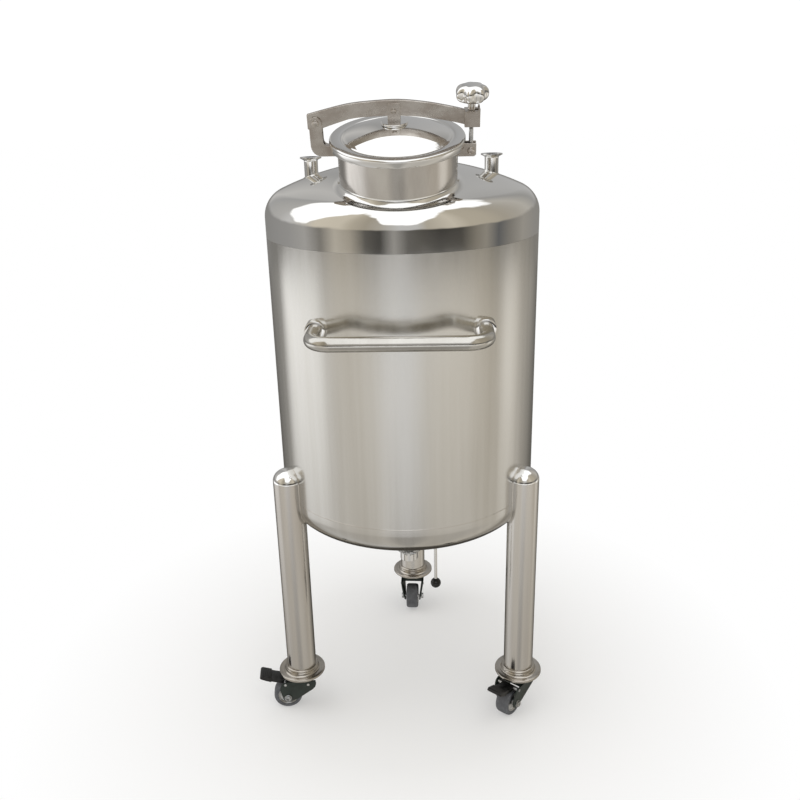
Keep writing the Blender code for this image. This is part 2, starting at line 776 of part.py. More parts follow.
def valve_profile():
    top = UPPER_CLAMP_Z - GAP / 2
    bottom = LOWER_CLAMP_Z + GAP / 2
    return [
        (FLANGE_RADIUS, top),
        (FLANGE_RADIUS, top - 0.0032),
        (OUTLET_RADIUS, top - 0.0064),
        (OUTLET_RADIUS, 0.4370),
        (VALVE_RADIUS, 0.4350),
        (VALVE_RADIUS, LEVER_Z + 0.002),
        (VALVE_BELT, LEVER_Z + 0.002),
        (VALVE_BELT, LEVER_Z - 0.002),
        (VALVE_RADIUS, LEVER_Z - 0.002),
        (VALVE_RADIUS, 0.4060),
        (OUTLET_RADIUS, 0.4040),
        (OUTLET_RADIUS, bottom + 0.0064),
        (FLANGE_RADIUS, bottom + 0.0032),
        (FLANGE_RADIUS, bottom),
        (OUTLET_BORE, bottom),
        (OUTLET_BORE, top),
    ]


def build_clamp(name, middle, radius):
    inner = FLANGE_RADIUS + GAP
    ring = [
        (radius - 0.003, middle + CLAMP_HALF),
        (radius, middle + 0.0045),
        (radius, middle - 0.0045),
        (radius - 0.003, middle - CLAMP_HALF),
        (inner, middle - CLAMP_HALF),
        (inner, middle + CLAMP_HALF),
    ]
    clamp = turned(name, ring, ZINC, None, 28)
    low = (-0.007, -radius - 0.010, middle - 0.0055)
    high = (0.007, 2 * OVERLAP - radius, middle + 0.0055)
    join(clamp, box(name + "_lug", low, high, None))


def build_lever():
    start = (VALVE_BELT + GAP, 0, LEVER_Z)
    lever = rod("valve_lever", start, (LEVER_X + STEM_OF_LEVER, 0, LEVER_Z), STEM_OF_LEVER, ZINC)
    flat = BALL_RADIUS * 0.93
    low = BALL_Z + flat + GAP
    join(lever, rod("lever_rod", (LEVER_X, 0, LEVER_Z), (LEVER_X, 0, low), LEVER_ROD, None))
    wide = math.sqrt(BALL_RADIUS**2 - flat**2)
    start = math.degrees(math.asin(0.93))
    profile = [(0.0, flat), (wide, flat)] + arc((0, 0), BALL_RADIUS, start, -90, 10)[1:]
    profile[-1] = (0.0, -BALL_RADIUS)
    turned("lever_ball", profile, BLACK, Matrix.Translation((LEVER_X, 0, BALL_Z)), 28)


# Build
clear_scene()
PARTS = new_collection("mobile_storage_tank")
HELPERS = new_collection("helpers")
build_vessel()
build_manway()
build_arm()
build_vents()
build_handle()
build_legs()
build_castors()
build_outlet()
for each in list(bpy.data.objects):
    each.matrix_world = Matrix.Translation(SHIFT) @ each.matrix_world
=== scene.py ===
"""Looks of the small mobile storage tank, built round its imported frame."""

import math

import bmesh
import bpy
from mathutils import Matrix, Vector


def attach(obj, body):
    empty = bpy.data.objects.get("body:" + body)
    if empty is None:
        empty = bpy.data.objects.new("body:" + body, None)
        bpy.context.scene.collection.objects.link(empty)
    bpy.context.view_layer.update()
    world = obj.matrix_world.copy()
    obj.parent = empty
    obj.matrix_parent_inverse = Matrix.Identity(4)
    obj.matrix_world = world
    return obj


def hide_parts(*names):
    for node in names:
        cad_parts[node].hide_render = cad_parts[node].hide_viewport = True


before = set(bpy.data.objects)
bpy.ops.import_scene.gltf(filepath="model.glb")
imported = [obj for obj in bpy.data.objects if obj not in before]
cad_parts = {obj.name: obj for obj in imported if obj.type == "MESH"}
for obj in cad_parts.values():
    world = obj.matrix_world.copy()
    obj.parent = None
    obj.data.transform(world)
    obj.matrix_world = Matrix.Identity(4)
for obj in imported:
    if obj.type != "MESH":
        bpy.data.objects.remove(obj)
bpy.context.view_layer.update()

# The CAD model's own sizes, in metres
SHIFT = Vector((0.0274, 0.0049, 0.0))
SHELL_RADIUS = 0.325
WALL = 0.003
SHELL_BOTTOM = 0.618
SHELL_TOP = 1.259
TANGENT_BOTTOM = 0.602
TANGENT_TOP = 1.301
CROWN_RADIUS = 0.699
KNUCKLE_RADIUS = 0.065
MANWAY_ORIGIN = Vector((0.0, -0.2015, 1.486))
MANWAY_TILT = math.radians(16.6)
NECK_RADIUS = 0.1274
LID_RADIUS = 0.1433
LID_RISE = 0.0255
LID_DOME_RADIUS = 0.112
RING_INNER = 0.1225
ARM_PIN = (-0.169, 0.031)
CLIP_X = -0.005
BOLT_X = 0.1545
BOLT_PIN_Z = -0.0325
BLOCK_TOP = 0.0512
VENT_X = 0.212
VENT_TOP = 1.431
VENT_RADIUS = 0.0162
FLANGE_RADIUS = 0.02525
HANDLE_Z = 1.087
HANDLE_HALF = 0.186
HANDLE_Y = -0.390
HANDLE_RADIUS = 0.0162
HANDLE_BEND = 0.045
LEG_CIRCLE = 0.335
LEG_RADIUS = 0.038
LEG_BOTTOM = 0.1163
LEG_TOP = 0.704
LEG_CAP = 0.030
LEGS = (("left", -150.0, 187.0), ("right", -30.0, 232.0), ("rear", 90.0, 268.0))
FOOT_RADIUS = 0.061
FOOT_BOTTOM = 0.110
TRAIL = 0.042
WHEEL_RADIUS = 0.038
FORK_INSIDE = 0.0205
FORK_OUTSIDE = 0.0245
FORK_SPLAY = 0.0115
FORK_TOP = 0.094
CHEEK_BOTTOM = 0.024
LEVER_X = 0.073
LEVER_Z = 0.416
BALL_Z = 0.272
BALL_RADIUS = 0.0144
OUTLET_RADIUS = 0.019
OUTLET_BORE = 0.0165

# Surroundings that the steel mirrors, by degrees round from the handle's side
SKYLINE = (
    (-180, 58), (-150, 52), (-125, 40), (-108, 20), (-95, 9), (-82, 9), (-76, 26), (-66, 42), (-58, 54), (-46, 60),
    (-36, 56), (-24, 46), (-14, 22), (0, 20), (14, 22), (24, 36), (34, 46), (46, 56), (66, 62), (90, 58), (110, 48),
    (140, 50), (180, 58),
)
HORIZON = (
    (-180, 0.42, 0.0), (-168, 0.36, 0.1), (-160, 0.56, 0.2), (-150, 0.4, 0.1), (-132, 0.46, 0.2),
    (-118, 0.5, 0.2), (-104, 0.62, 0.1), (-84, 0.58, 0.5), (-74, 0.68, 0.9), (-50, 0.66, 0.9),
    (-40, 0.5, 1.0), (-28, 0.4, 1.0), (-16, 0.46, 0.7), (0, 0.6, 0.1), (14, 0.58, 0.2), (22, 0.48, 0.9),
    (44, 0.64, 0.9), (58, 0.5, 1.0), (78, 0.48, 1), (94, 0.42, 0.9), (110, 0.44, 0.7), (130, 0.52, 0.5),
    (150, 0.36, 0.2), (164, 0.48, 0.1), (180, 0.42, 0.0),
)
NEAR_LOW = (
    (-180, 0.22, 0.3), (-130, 0.3, 0.2), (-104, 0.34, 0.2), (-84, 0.4, 0.3), (-68, 0.22, 0.6),
    (-54, 0.5, 0.8), (-41, 0.4, 0.9), (-28, 0.12, 0.6), (-16, 0.07, 0.5), (-5, 0.34, 0.4),
    (6, 0.14, 0.5), (16, 0.1, 0.7), (32, 0.06, 0.6), (50, 0.08, 0.7), (64, 0.24, 0.9), (73, 0.3, 0.8),
    (86, 0.13, 0.0), (100, 0.24, 0.6), (118, 0.36, 0.6), (140, 0.3, 0.4), (180, 0.22, 0.3),
)
PAVING = (
    (-180, 0.17, 0.4), (-158, 0.17, 0.4), (-126, 0.44, 0.2), (-114, 1.54, 0.0), (-75, 1.5, 0.0),
    (-68, 0.89, 0.2), (-58, 0.92, 0.4), (-34, 0.96, 0.4), (-20, 1.06, 0.2), (-11, 1.29, 0.0),
    (4, 1.23, 0.0), (12, 1.16, 0.1), (22, 1.06, 0.3), (40, 1.08, 0.4), (60, 0.96, 0.5), (72, 0.75, 0.7),
    (88, 0.62, 0.7), (97, 1.21, 0.3), (108, 1.08, 0.4), (120, 0.56, 0.6), (140, 0.42, 0.5),
    (158, 0.17, 0.4), (180, 0.17, 0.4),
)
UNDERFOOT = (
    (-180, 0.07, 0.8), (-150, 0.07, 0.8), (-120, 0.4, 0.4), (-95, 0.62, 0.2), (-60, 0.56, 0.4),
    (-24, 0.56, 0.5), (-8, 0.4, 0.4), (8, 0.38, 0.4), (24, 0.56, 0.5), (60, 0.52, 0.5), (95, 0.6, 0.6),
    (120, 0.34, 0.6), (150, 0.07, 0.8), (180, 0.07, 0.8),
)
SKY = (1.34, 1.34, 1.33)
WORLD_STRENGTH = 1.0

# Fineness
BODY_STEPS = 192
ROUND_STEPS = 128
SMALL_STEPS = 48
PIN_STEPS = 32


# Shader helpers
def tinted(level, warmth):
    """A grey of that level, from neutral at warmth 0 to beige at warmth 1."""
    return (level, level * (1 - 0.10 * warmth), level * (1 - 0.28 * warmth))


class Tree:
    """Short calls to add nodes to one node tree."""

    def __init__(self, tree):
        self.nodes = tree.nodes
        self.links = tree.links

    def node(self, kind, **settings):
        made = self.nodes.new(kind)
        for key, value in settings.items():
            setattr(made, key, value)
        return made

    def link(self, source, target):
        self.links.new(source, target)

    def math(self, operation, first, second=None):
        made = self.node("ShaderNodeMath", operation=operation)
        for socket, value in zip(made.inputs, (first, second)):
            if isinstance(value, (int, float)):
                socket.default_value = value
            elif value is not None:
                self.link(value, socket)
        return made.outputs["Value"]

    def ramp(self, source, stops):
        made = self.node("ShaderNodeValToRGB")
        ramp = made.color_ramp
        while len(ramp.elements) < len(stops):
            ramp.elements.new(0.5)
        for element, (at, colour) in zip(ramp.elements, stops):
            element.position = at
            element.color = colour if len(colour) == 4 else (*colour, 1.0)
        self.link(source, made.inputs["Fac"])
        return made.outputs["Color"]

    def span(self, source, low, high, from_low=0.3, from_high=0.7):
        made = self.node("ShaderNodeMapRange")
        made.inputs["From Min"].default_value = from_low
        made.inputs["From Max"].default_value = from_high
        made.inputs["To Min"].default_value = low
        made.inputs["To Max"].default_value = high
        self.link(source, made.inputs["Value"])
        return made.outputs["Result"]

    def around(self, turn, stops):
        """A grey that changes with the direction, from (degrees, level, warmth) stops."""
        return self.ramp(turn, [((at + 180) / 360, tinted(level, warmth)) for at, level, warmth in stops])

    def mix(self, factor, first, second):
        """The first colour where factor is 0 and the second where it is 1."""
        made = self.node("ShaderNodeMix", data_type="RGBA")
        self.link(factor, made.inputs[0])
        self.link(first, made.inputs[6])
        self.link(second, made.inputs[7])
        return made.outputs[2]


class Look(Tree):
    """One material."""

    def __init__(self, name, colour, metallic, roughness):
        self.material = bpy.data.materials.new(name)
        self.material.use_nodes = True
        super().__init__(self.material.node_tree)
        self.shader = self.nodes["Principled BSDF"]
        self.set("Base Color", (*colour, 1.0))
        self.set("Metallic", metallic)
        self.set("Roughness", roughness)

    def set(self, name, value):
        self.shader.inputs[name].default_value = value

    def place(self, scale):
        """Object coordinates, stretched by scale."""
        where = self.node("ShaderNodeTexCoord")
        mapping = self.node("ShaderNodeMapping")
        mapping.inputs["Scale"].default_value = scale
        self.link(where.outputs["Object"], mapping.inputs["Vector"])
        return mapping.outputs["Vector"]

    def noise(self, scale, size=1.0, detail=4.0, rough=0.5):
        made = self.node("ShaderNodeTexNoise")
        made.inputs["Scale"].default_value = size
        made.inputs["Detail"].default_value = detail
        made.inputs["Roughness"].default_value = rough
        self.link(self.place(scale), made.inputs["Vector"])
        return made.outputs["Fac"]

    def bump(self, source, strength, distance):
        made = self.node("ShaderNodeBump")
        made.inputs["Strength"].default_value = strength
        made.inputs["Distance"].default_value = distance
        self.link(source, made.inputs["Height"])
        self.link(made.outputs["Normal"], self.shader.inputs["Normal"])


# Materials
def mirror_steel(name, roughness=0.035, ripple=0.10):
    """Polished sheet: clear reflections that ripple a little, and faint wiping marks."""
    look = Look(name, (0.80, 0.795, 0.785), 1.0, roughness)
    smear = look.noise((9, 9, 9), 1.0, 3.0)
    look.link(look.span(smear, roughness * 0.7, roughness * 1.9), look.shader.inputs["Roughness"])
    tint = look.ramp(look.noise((3, 3, 3), 1.0, 2.0), ((0.3, (0.77, 0.765, 0.75)), (0.7, (0.84, 0.835, 0.83))))
    look.link(tint, look.shader.inputs["Base Color"])
    look.bump(look.noise((7, 7, 7), 1.0, 1.0), ripple, 0.004)
    return look.material


def satin_steel(name, dark, light, low, high, grain):
    """Brushed sheet: long upright streaks in tone and gloss over a fine grain."""
    look = Look(name, light, 1.0, (low + high) / 2)
    streaks = look.noise((11, 11, 0.35), 1.0, 5.0, 0.6)
    patches = look.noise((2.6, 2.6, 1.1), 1.0, 3.0)
    blend = look.node("ShaderNodeMath", operation="MULTIPLY_ADD")
    look.link(streaks, blend.inputs[0])
    blend.inputs[1].default_value = 0.6
    scaled = look.node("ShaderNodeMath", operation="MULTIPLY")
    look.link(patches, scaled.inputs[0])
    scaled.inputs[1].default_value = 0.4
    look.link(scaled.outputs[0], blend.inputs[2])
    look.link(look.ramp(blend.outputs[0], ((0.36, dark), (0.62, light))), look.shader.inputs["Base Color"])
    look.link(look.span(streaks, low, high), look.shader.inputs["Roughness"])
    look.bump(look.noise(grain, 1.0, 2.0), 0.12, 0.0004)
    return look.material


def warm_steel(name):
    """Plain bar stock: brownish grey with soft handling marks."""
    look = Look(name, (0.50, 0.455, 0.41), 1.0, 0.26)
    blotch = look.noise((24, 24, 34), 1.0, 4.0)
    tone = look.ramp(blotch, ((0.35, (0.40, 0.355, 0.315)), (0.65, (0.62, 0.585, 0.545))))
    look.link(tone, look.shader.inputs["Base Color"])
    look.link(look.span(blotch, 0.34, 0.20), look.shader.inputs["Roughness"])
    look.bump(look.noise((60, 900, 900), 1.0, 2.0), 0.10, 0.0003)
    return look.material


def zinc(name):
    look = Look(name, (0.55, 0.56, 0.57), 1.0, 0.33)
    speckle = look.noise((160, 160, 160), 1.0, 3.0)
    look.link(look.ramp(speckle, ((0.35, (0.44, 0.45, 0.46)), (0.65, (0.64, 0.645, 0.65)))), look.shader.inputs["Base Color"])
    look.link(look.span(speckle, 0.26, 0.42), look.shader.inputs["Roughness"])
    return look.material


def coated_green(name):
    """Dark green coated pressing, paler where it is rubbed."""
    look = Look(name, (0.012, 0.021, 0.017), 0.0, 0.40)
    wear = look.noise((70, 70, 70), 1.0, 5.0, 0.65)
    tone = look.ramp(wear, ((0.30, (0.007, 0.012, 0.010)), (0.60, (0.014, 0.024, 0.019)), (0.80, (0.040, 0.058, 0.050))))
    look.link(tone, look.shader.inputs["Base Color"])
    look.link(look.span(wear, 0.32, 0.52), look.shader.inputs["Roughness"])
    look.bump(look.noise((500, 500, 500), 1.0, 2.0), 0.15, 0.0003)
    return look.material


def rubber(name, dark, light):
    look = Look(name, light, 0.0, 0.62)
    dust = look.noise((55, 55, 55), 1.0, 5.0, 0.6)
    look.link(look.ramp(dust, ((0.35, dark), (0.70, light))), look.shader.inputs["Base Color"])
    look.link(look.span(dust, 0.50, 0.78), look.shader.inputs["Roughness"])
    look.bump(look.noise((700, 700, 700), 1.0, 2.0), 0.2, 0.0003)
    return look.material


def black_plastic(name, roughness):
    look = Look(name, (0.006, 0.006, 0.006), 0.0, roughness)
    scuff = look.noise((90, 90, 90), 1.0, 4.0)
    tone = look.ramp(scuff, ((0.4, (0.004, 0.004, 0.004)), (0.75, (0.014, 0.014, 0.014))))
    look.link(tone, look.shader.inputs["Base Color"])
    look.link(look.span(scuff, roughness * 0.8, roughness * 1.3), look.shader.inputs["Roughness"])
    return look.material


def make_materials():
    shell_dark, shell_light = (0.54, 0.525, 0.49), (0.70, 0.69, 0.67)
    leg_dark, leg_light = (0.50, 0.47, 0.435), (0.72, 0.70, 0.67)
    return {
        "mirror": mirror_steel("mirror_steel"),
        "bright": mirror_steel("bright_steel", 0.07, 0.03),
        "rail": satin_steel("satin_rail", (0.52, 0.50, 0.465), (0.66, 0.65, 0.62), 0.10, 0.17, (60, 900, 900)),
        "shell": satin_steel("satin_shell", shell_dark, shell_light, 0.15, 0.26, (900, 900, 90)),
        "neck": satin_steel("satin_neck", (0.47, 0.44, 0.41), (0.70, 0.68, 0.65), 0.10, 0.20, (900, 900, 60)),
        "bowl": satin_steel("satin_bowl", shell_dark, shell_light, 0.09, 0.16, (900, 900, 90)),
        "foot": satin_steel("satin_foot", (0.36, 0.33, 0.29), (0.56, 0.53, 0.49), 0.12, 0.22, (300, 300, 300)),
        "leg": satin_steel("satin_leg", leg_dark, leg_light, 0.13, 0.24, (900, 900, 60)),
        "warm": warm_steel("warm_bar"),
        "zinc": zinc("zinc_plate"),
        "green": coated_green("coated_green"),
        "tyre": rubber("tyre_rubber", (0.075, 0.08, 0.09), (0.155, 0.16, 0.175)),
        "seal": rubber("seal_rubber", (0.60, 0.60, 0.58), (0.74, 0.74, 0.72)),
        "black": black_plastic("black_plastic", 0.38),
        "ball": black_plastic("ball_plastic", 0.09),
    }


# Shape helpers
def finish_mesh(shape, name, look, body, matrix, angle=35.0):
    bmesh.ops.recalc_face_normals(shape, faces=shape.faces)
    mesh = bpy.data.meshes.new(name)
    shape.to_mesh(mesh)
    shape.free()
    mesh.shade_smooth()
    mesh.set_sharp_from_angle(angle=math.radians(angle))
    mesh.materials.append(LOOKS[look])
    obj = bpy.data.objects.new(name, mesh)
    bpy.context.scene.collection.objects.link(obj)
    mesh.transform(Matrix.Translation(SHIFT) @ (matrix or Matrix.Identity(4)))
    if body:
        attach(obj, body)
    return obj


def lathe(name, profile, look, body, matrix=None, steps=ROUND_STEPS, angle=35.0):
    """A closed profile of (radius, height) turned round z; radius 0 is a pole."""
    shape = bmesh.new()
    rings = []
    for radius, height in profile:
        if radius < 1e-6:
            rings.append([shape.verts.new((0, 0, height))])
            continue
        ring = []
        for i in range(steps):
            turn = 2 * math.pi * i / steps
            ring.append(shape.verts.new((radius * math.cos(turn), radius * math.sin(turn), height)))
        rings.append(ring)
    pairs = list(zip(rings, rings[1:]))
    if len(rings[0]) > 1 or len(rings[-1]) > 1:
        pairs.append((rings[-1], rings[0]))
    for first, second in pairs:
        bridge(shape, first, second, steps)
    return finish_mesh(shape, name, look, body, matrix, angle)


def bridge(shape, first, second, steps):
    if len(first) == 1 and len(second) == 1:
        return
    for i in range(steps):
        after = (i + 1) % steps
        if len(first) == 1:
            shape.faces.new((first[0], second[after], second[i]))
        elif len(second) == 1:
            shape.faces.new((first[i], first[after], second[0]))
        else:
            shape.faces.new((first[i], first[after], second[after], second[i]))


def plate(name, outline, low, high, look, body, matrix=None, round_by=0.0008, segments=2, lean=0.0):
    """An outline of (x, z) points drawn from y = low to y = high, with rounded edges."""
    shape = bmesh.new()
    front = [shape.verts.new((x, low, z)) for x, z in outline]
    back = [shape.verts.new((x, high, z)) for x, z in outline]
    shape.faces.new(front)
    shape.faces.new(list(reversed(back)))
    for i, vert in enumerate(front):
        after = (i + 1) % len(front)
        shape.faces.new((vert, back[i], back[after], front[after]))
    soften(shape, round_by, segments)
    for vert in shape.verts:
        vert.co.y += lean * splay(vert.co.z)
    return finish_mesh(shape, name, look, body, matrix)


def splay(height):
    """How far a castor's cheek stands further out at that height."""
    return FORK_SPLAY * (height - CHEEK_BOTTOM) / (FORK_TOP - CHEEK_BOTTOM)


def soften(shape, by, segments=2):
    bmesh.ops.recalc_face_normals(shape, faces=shape.faces)
    if by <= 0:
        return
    edges = [edge for edge in shape.edges if edge.calc_face_angle(0.0) > math.radians(28)]
    bmesh.ops.bevel(shape, geom=edges, offset=by, segments=segments, profile=0.5, affect="EDGES")


def tube(name, path, radius, look, body, matrix=None, sides=32, closed=False):
    """A round bar along a path."""
    points = [Vector(point) for point in path]
    count = len(points)
    shape = bmesh.new()
    rings = []
    normal = None
    for i, point in enumerate(points):
        before = points[(i - 1) % count] if closed or i else point
        after = points[(i + 1) % count] if closed or i < count - 1 else point
        along = (after - before).normalized()
        if normal is None:
            normal = along.orthogonal().normalized()
        normal = (normal - along * normal.dot(along)).normalized()
        across = along.cross(normal)
        ring = []
        for k in range(sides):
            turn = 2 * math.pi * k / sides
            ring.append(shape.verts.new(point + radius * (math.cos(turn) * normal + math.sin(turn) * across)))
        rings.append(ring)
    pairs = list(zip(rings, rings[1:]))
    if closed:
        pairs.append((rings[-1], rings[0]))
    for first, second in pairs:
        bridge(shape, first, second, sides)
    if not closed:
        shape.faces.new(rings[0])
        shape.faces.new(list(reversed(rings[-1])))
    return finish_mesh(shape, name, look, body, matrix)


def axis_frame(start, end, matrix=None):
    start = Vector(start)
    along = Vector(end) - start
    turn = along.to_track_quat("Z", "Y").to_matrix().to_4x4()
    return (matrix or Matrix.Identity(4)) @ Matrix.Translation(start) @ turn, along.length


def pin(name, start, end, radius, look, body, matrix=None, steps=PIN_STEPS, edge=0.0006):
    """A cylinder from start to end with a small chamfer at both ends."""
    own, length = axis_frame(start, end, matrix)
    profile = [
        (0.0, length),
        (radius - edge, length),
        (radius, length - edge),
        (radius, edge),
        (radius - edge, 0.0),
        (0.0, 0.0),
    ]
    return lathe(name, profile, look, body, own, steps)


def domed_head(name, start, end, radius, look, body, matrix=None, steps=PIN_STEPS):
    """A low domed rivet or bolt head, its flat side at start."""
    own, length = axis_frame(start, end, matrix)
    profile = [(0.0, length)]
    for i in range(1, 7):
        turn = math.radians(15 * i)
        profile.append((radius * math.sin(turn), length * (0.35 + 0.65 * math.cos(turn))))
    profile += [(radius, 0.0), (0.0, 0.0)]
    return lathe(name, profile, look, body, own, steps, 50)


def arc(centre, radius, start, end, count):
    found = []
    for i in range(count + 1):
        turn = math.radians(start + (end - start) * i / count)
        found.append((centre[0] + radius * math.cos(turn), centre[1] + radius * math.sin(turn)))
    return found


def smooth_line(points, steps):
    """A smooth curve through the points."""
    found = []
    for i in range(len(points) - 1):
        ends = [Vector(points[max(i - 1, 0)]), Vector(points[i])]
        ends += [Vector(points[i + 1]), Vector(points[min(i + 2, len(points) - 1)])]
        for k in range(steps):
            t = k / steps
            a, b, c, d = ends
            p = 2 * b + (c - a) * t + (2 * a - 5 * b + 4 * c - d) * t * t + (3 * b - a - 3 * c + d) * t**3
            found.append(tuple(p / 2))
    found.append(tuple(points[-1]))
    return found


def carve(obj, cutters, smooth_angle=35.0):
    """Cuts the other pieces away from obj and deletes them."""
    for cutter in cutters:
        made = obj.modifiers.new("cut", "BOOLEAN")
        made.operation = "DIFFERENCE"
        made.solver = "EXACT"
        made.object = cutter
    graph = bpy.context.evaluated_depsgraph_get()
    mesh = bpy.data.meshes.new_from_object(obj.evaluated_get(graph))
    obj.modifiers.clear()
    obj.data = mesh
    mesh.set_sharp_from_angle(angle=math.radians(smooth_angle))
    for cutter in cutters:
        bpy.data.objects.remove(cutter, do_unlink=True)


def manway_frame():
    return Matrix.Translation(MANWAY_ORIGIN) @ Matrix.Rotation(MANWAY_TILT, 4, "X")


# Vessel
def knuckle_turn():
    return math.acos((SHELL_RADIUS - KNUCKLE_RADIUS) / (CROWN_RADIUS - KNUCKLE_RADIUS))


def head_curve(offset, knuckle_steps=14, crown_steps=22):
    """(radius, height over the tangent line) from the tangent line to the apex."""
    centre = SHELL_RADIUS - KNUCKLE_RADIUS
    turn = knuckle_turn()
    drop = (CROWN_RADIUS - KNUCKLE_RADIUS) * math.sin(turn)
    points = []
    for i in range(knuckle_steps + 1):
        angle = turn * i / knuckle_steps
        radius = KNUCKLE_RADIUS + offset
        points.append((centre + radius * math.cos(angle), radius * math.sin(angle)))
    for i in range(1, crown_steps + 1):
        angle = turn + (math.pi / 2 - turn) * i / crown_steps
        radius = CROWN_RADIUS + offset
        points.append((radius * math.cos(angle), radius * math.sin(angle) - drop))
    points[-1] = (0.0, points[-1][1])
    return points


def head_height(radius):
    """The outside of a head over its tangent line, at that radius."""
    turn = knuckle_turn()
    drop = (CROWN_RADIUS - KNUCKLE_RADIUS) * math.sin(turn)
    if radius < CROWN_RADIUS * math.cos(turn):
        return math.sqrt(CROWN_RADIUS**2 - radius**2) - drop
    over = min(radius, SHELL_RADIUS) - (SHELL_RADIUS - KNUCKLE_RADIUS)
    return math.sqrt(max(KNUCKLE_RADIUS**2 - over**2, 0.0))


def head_normal(point):
    """The outside's true normal on the top head, for clean reflections."""
    turn = knuckle_turn()
    drop = (CROWN_RADIUS - KNUCKLE_RADIUS) * math.sin(turn)
    flat = Vector((point.x, point.y, 0))
    radius = flat.length
    height = point.z - TANGENT_TOP
    if height <= 0:
        return flat.normalized()
    if radius < CROWN_RADIUS * math.cos(turn):
        return (point - Vector((0, 0, TANGENT_TOP - drop))).normalized()
    centre = flat.normalized() * (SHELL_RADIUS - KNUCKLE_RADIUS)
    return (Vector((point.x, point.y, height)) - centre).normalized()


def build_vessel():
    lip = 0.0004
    shell = [
        (SHELL_RADIUS, SHELL_TOP - 0.0004),
        (SHELL_RADIUS, SHELL_BOTTOM + lip),
        (SHELL_RADIUS - lip, SHELL_BOTTOM),
        (SHELL_RADIUS - WALL, SHELL_BOTTOM),
        (SHELL_RADIUS - WALL, SHELL_TOP),
        (SHELL_RADIUS - lip, SHELL_TOP),
    ]
    replace(lathe("vessel_shell", shell, "shell", "tank", None, BODY_STEPS), "shell")
    build_top_head()
    outer = [(r, TANGENT_BOTTOM - h) for r, h in head_curve(0.0)]
    inner = [(r, TANGENT_BOTTOM - h) for r, h in head_curve(-WALL)]
    hole = OUTLET_RADIUS + 0.0003
    outer[-1] = (hole, outer[-1][1])
    inner[-1] = (hole, inner[-1][1])
    rim = SHELL_BOTTOM - 0.0003
    low = [(SHELL_RADIUS, rim)] + outer + inner[::-1] + [(SHELL_RADIUS - WALL, rim)]
    replace(lathe("vessel_bottom", low, "bowl", "tank", None, BODY_STEPS), "bottom_head")
    bead = [(SHELL_RADIUS + r, SHELL_BOTTOM + z) for r, z in arc((-0.0003, 0.0), 0.0011, 90, -90, 6)]
    bead += [(SHELL_RADIUS - 0.0008, SHELL_BOTTOM - 0.001), (SHELL_RADIUS - 0.0008, SHELL_BOTTOM + 0.001)]
    lathe("bottom_weld", bead, "leg", "tank", None, BODY_STEPS)


def build_top_head():
    outer = [(r, TANGENT_TOP + h) for r, h in head_curve(0.0)]
    inner = [(r, TANGENT_TOP + h) for r, h in head_curve(-WALL)]
    rim = SHELL_TOP + 0.0003
    profile = outer[::-1] + [(SHELL_RADIUS, rim), (SHELL_RADIUS - WALL, rim)] + inner
    head = lathe("vessel_head", profile, "mirror", None, None, BODY_STEPS)
    hole = [(0.0, -0.02), (NECK_RADIUS + 0.0003, -0.02), (NECK_RADIUS + 0.0003, -0.2), (0.0, -0.2)]
    cutters = [lathe("cut_neck", hole, "mirror", None, manway_frame())]
    for x in (-VENT_X, VENT_X):
        cutters.append(pin("cut_vent", (x, 0, 1.3), (x, 0, 1.5), VENT_RADIUS + 0.0003, "mirror", None, None, SMALL_STEPS))
    carve(head, cutters)
    mesh = head.data
    normals = []
    for polygon in mesh.polygons:
        for index in polygon.vertices:
            point = mesh.vertices[index].co - SHIFT
            true = head_normal(point)
            turned = polygon.normal.dot(true)
            if turned > 0.9:
                normals.append(true)
            elif turned < -0.9:
                normals.append(-true)
            else:
                normals.append(polygon.normal.copy())
    mesh.normals_split_custom_set(normals)
    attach(head, "tank")
    replace(head, "top_head")


def on_dome(point, direction):
    """Where the line from point along direction meets the top head."""
    low, high = 0.0, 0.25
    for _ in range(40):
        middle = (low + high) / 2
        here = point + direction * middle
        if here.z < TANGENT_TOP + head_height(math.hypot(here.x, here.y)):
            high = middle
        else:
            low = middle
    return point + direction * low


def build_neck_fillet():
    """The smooth flared weld between the neck and the dome, along their true meeting line."""
    own = manway_frame()
    down = (own.to_3x3() @ Vector((0, 0, -1))).normalized()
    shape = bmesh.new()
    steps = 144
    rings = []
    for i in range(steps):
        turn = 2 * math.pi * i / steps
        out = Vector((math.cos(turn), math.sin(turn), 0))
        start = own @ (out * NECK_RADIUS)
        root = on_dome(start, down)
        wide = on_dome(own @ (out * (NECK_RADIUS + 0.016)), down)
        top = root - down * 0.0105 + own.to_3x3() @ (out * 0.0006)
        ring = []
        for k in range(9):
            t = k / 8
            ring.append(top * (1 - t) ** 2 + (root + (top - root) * 0.06) * 2 * t * (1 - t) + wide * t * t)
        normal = head_normal(wide)
        ring.append(wide - normal * 0.0012)
        ring.append(root - normal * 0.0012)
        ring.append(top - own.to_3x3() @ (out * 0.0009))
        rings.append([shape.verts.new(point) for point in ring])
    size = len(rings[0])
    for i in range(steps):
        here, after = rings[i], rings[(i + 1) % steps]
        for k in range(size):
            other = (k + 1) % size
            shape.faces.new((here[k], here[other], after[other], after[k]))
    finish_mesh(shape, "neck_fillet", "bright", "tank", None, 50)


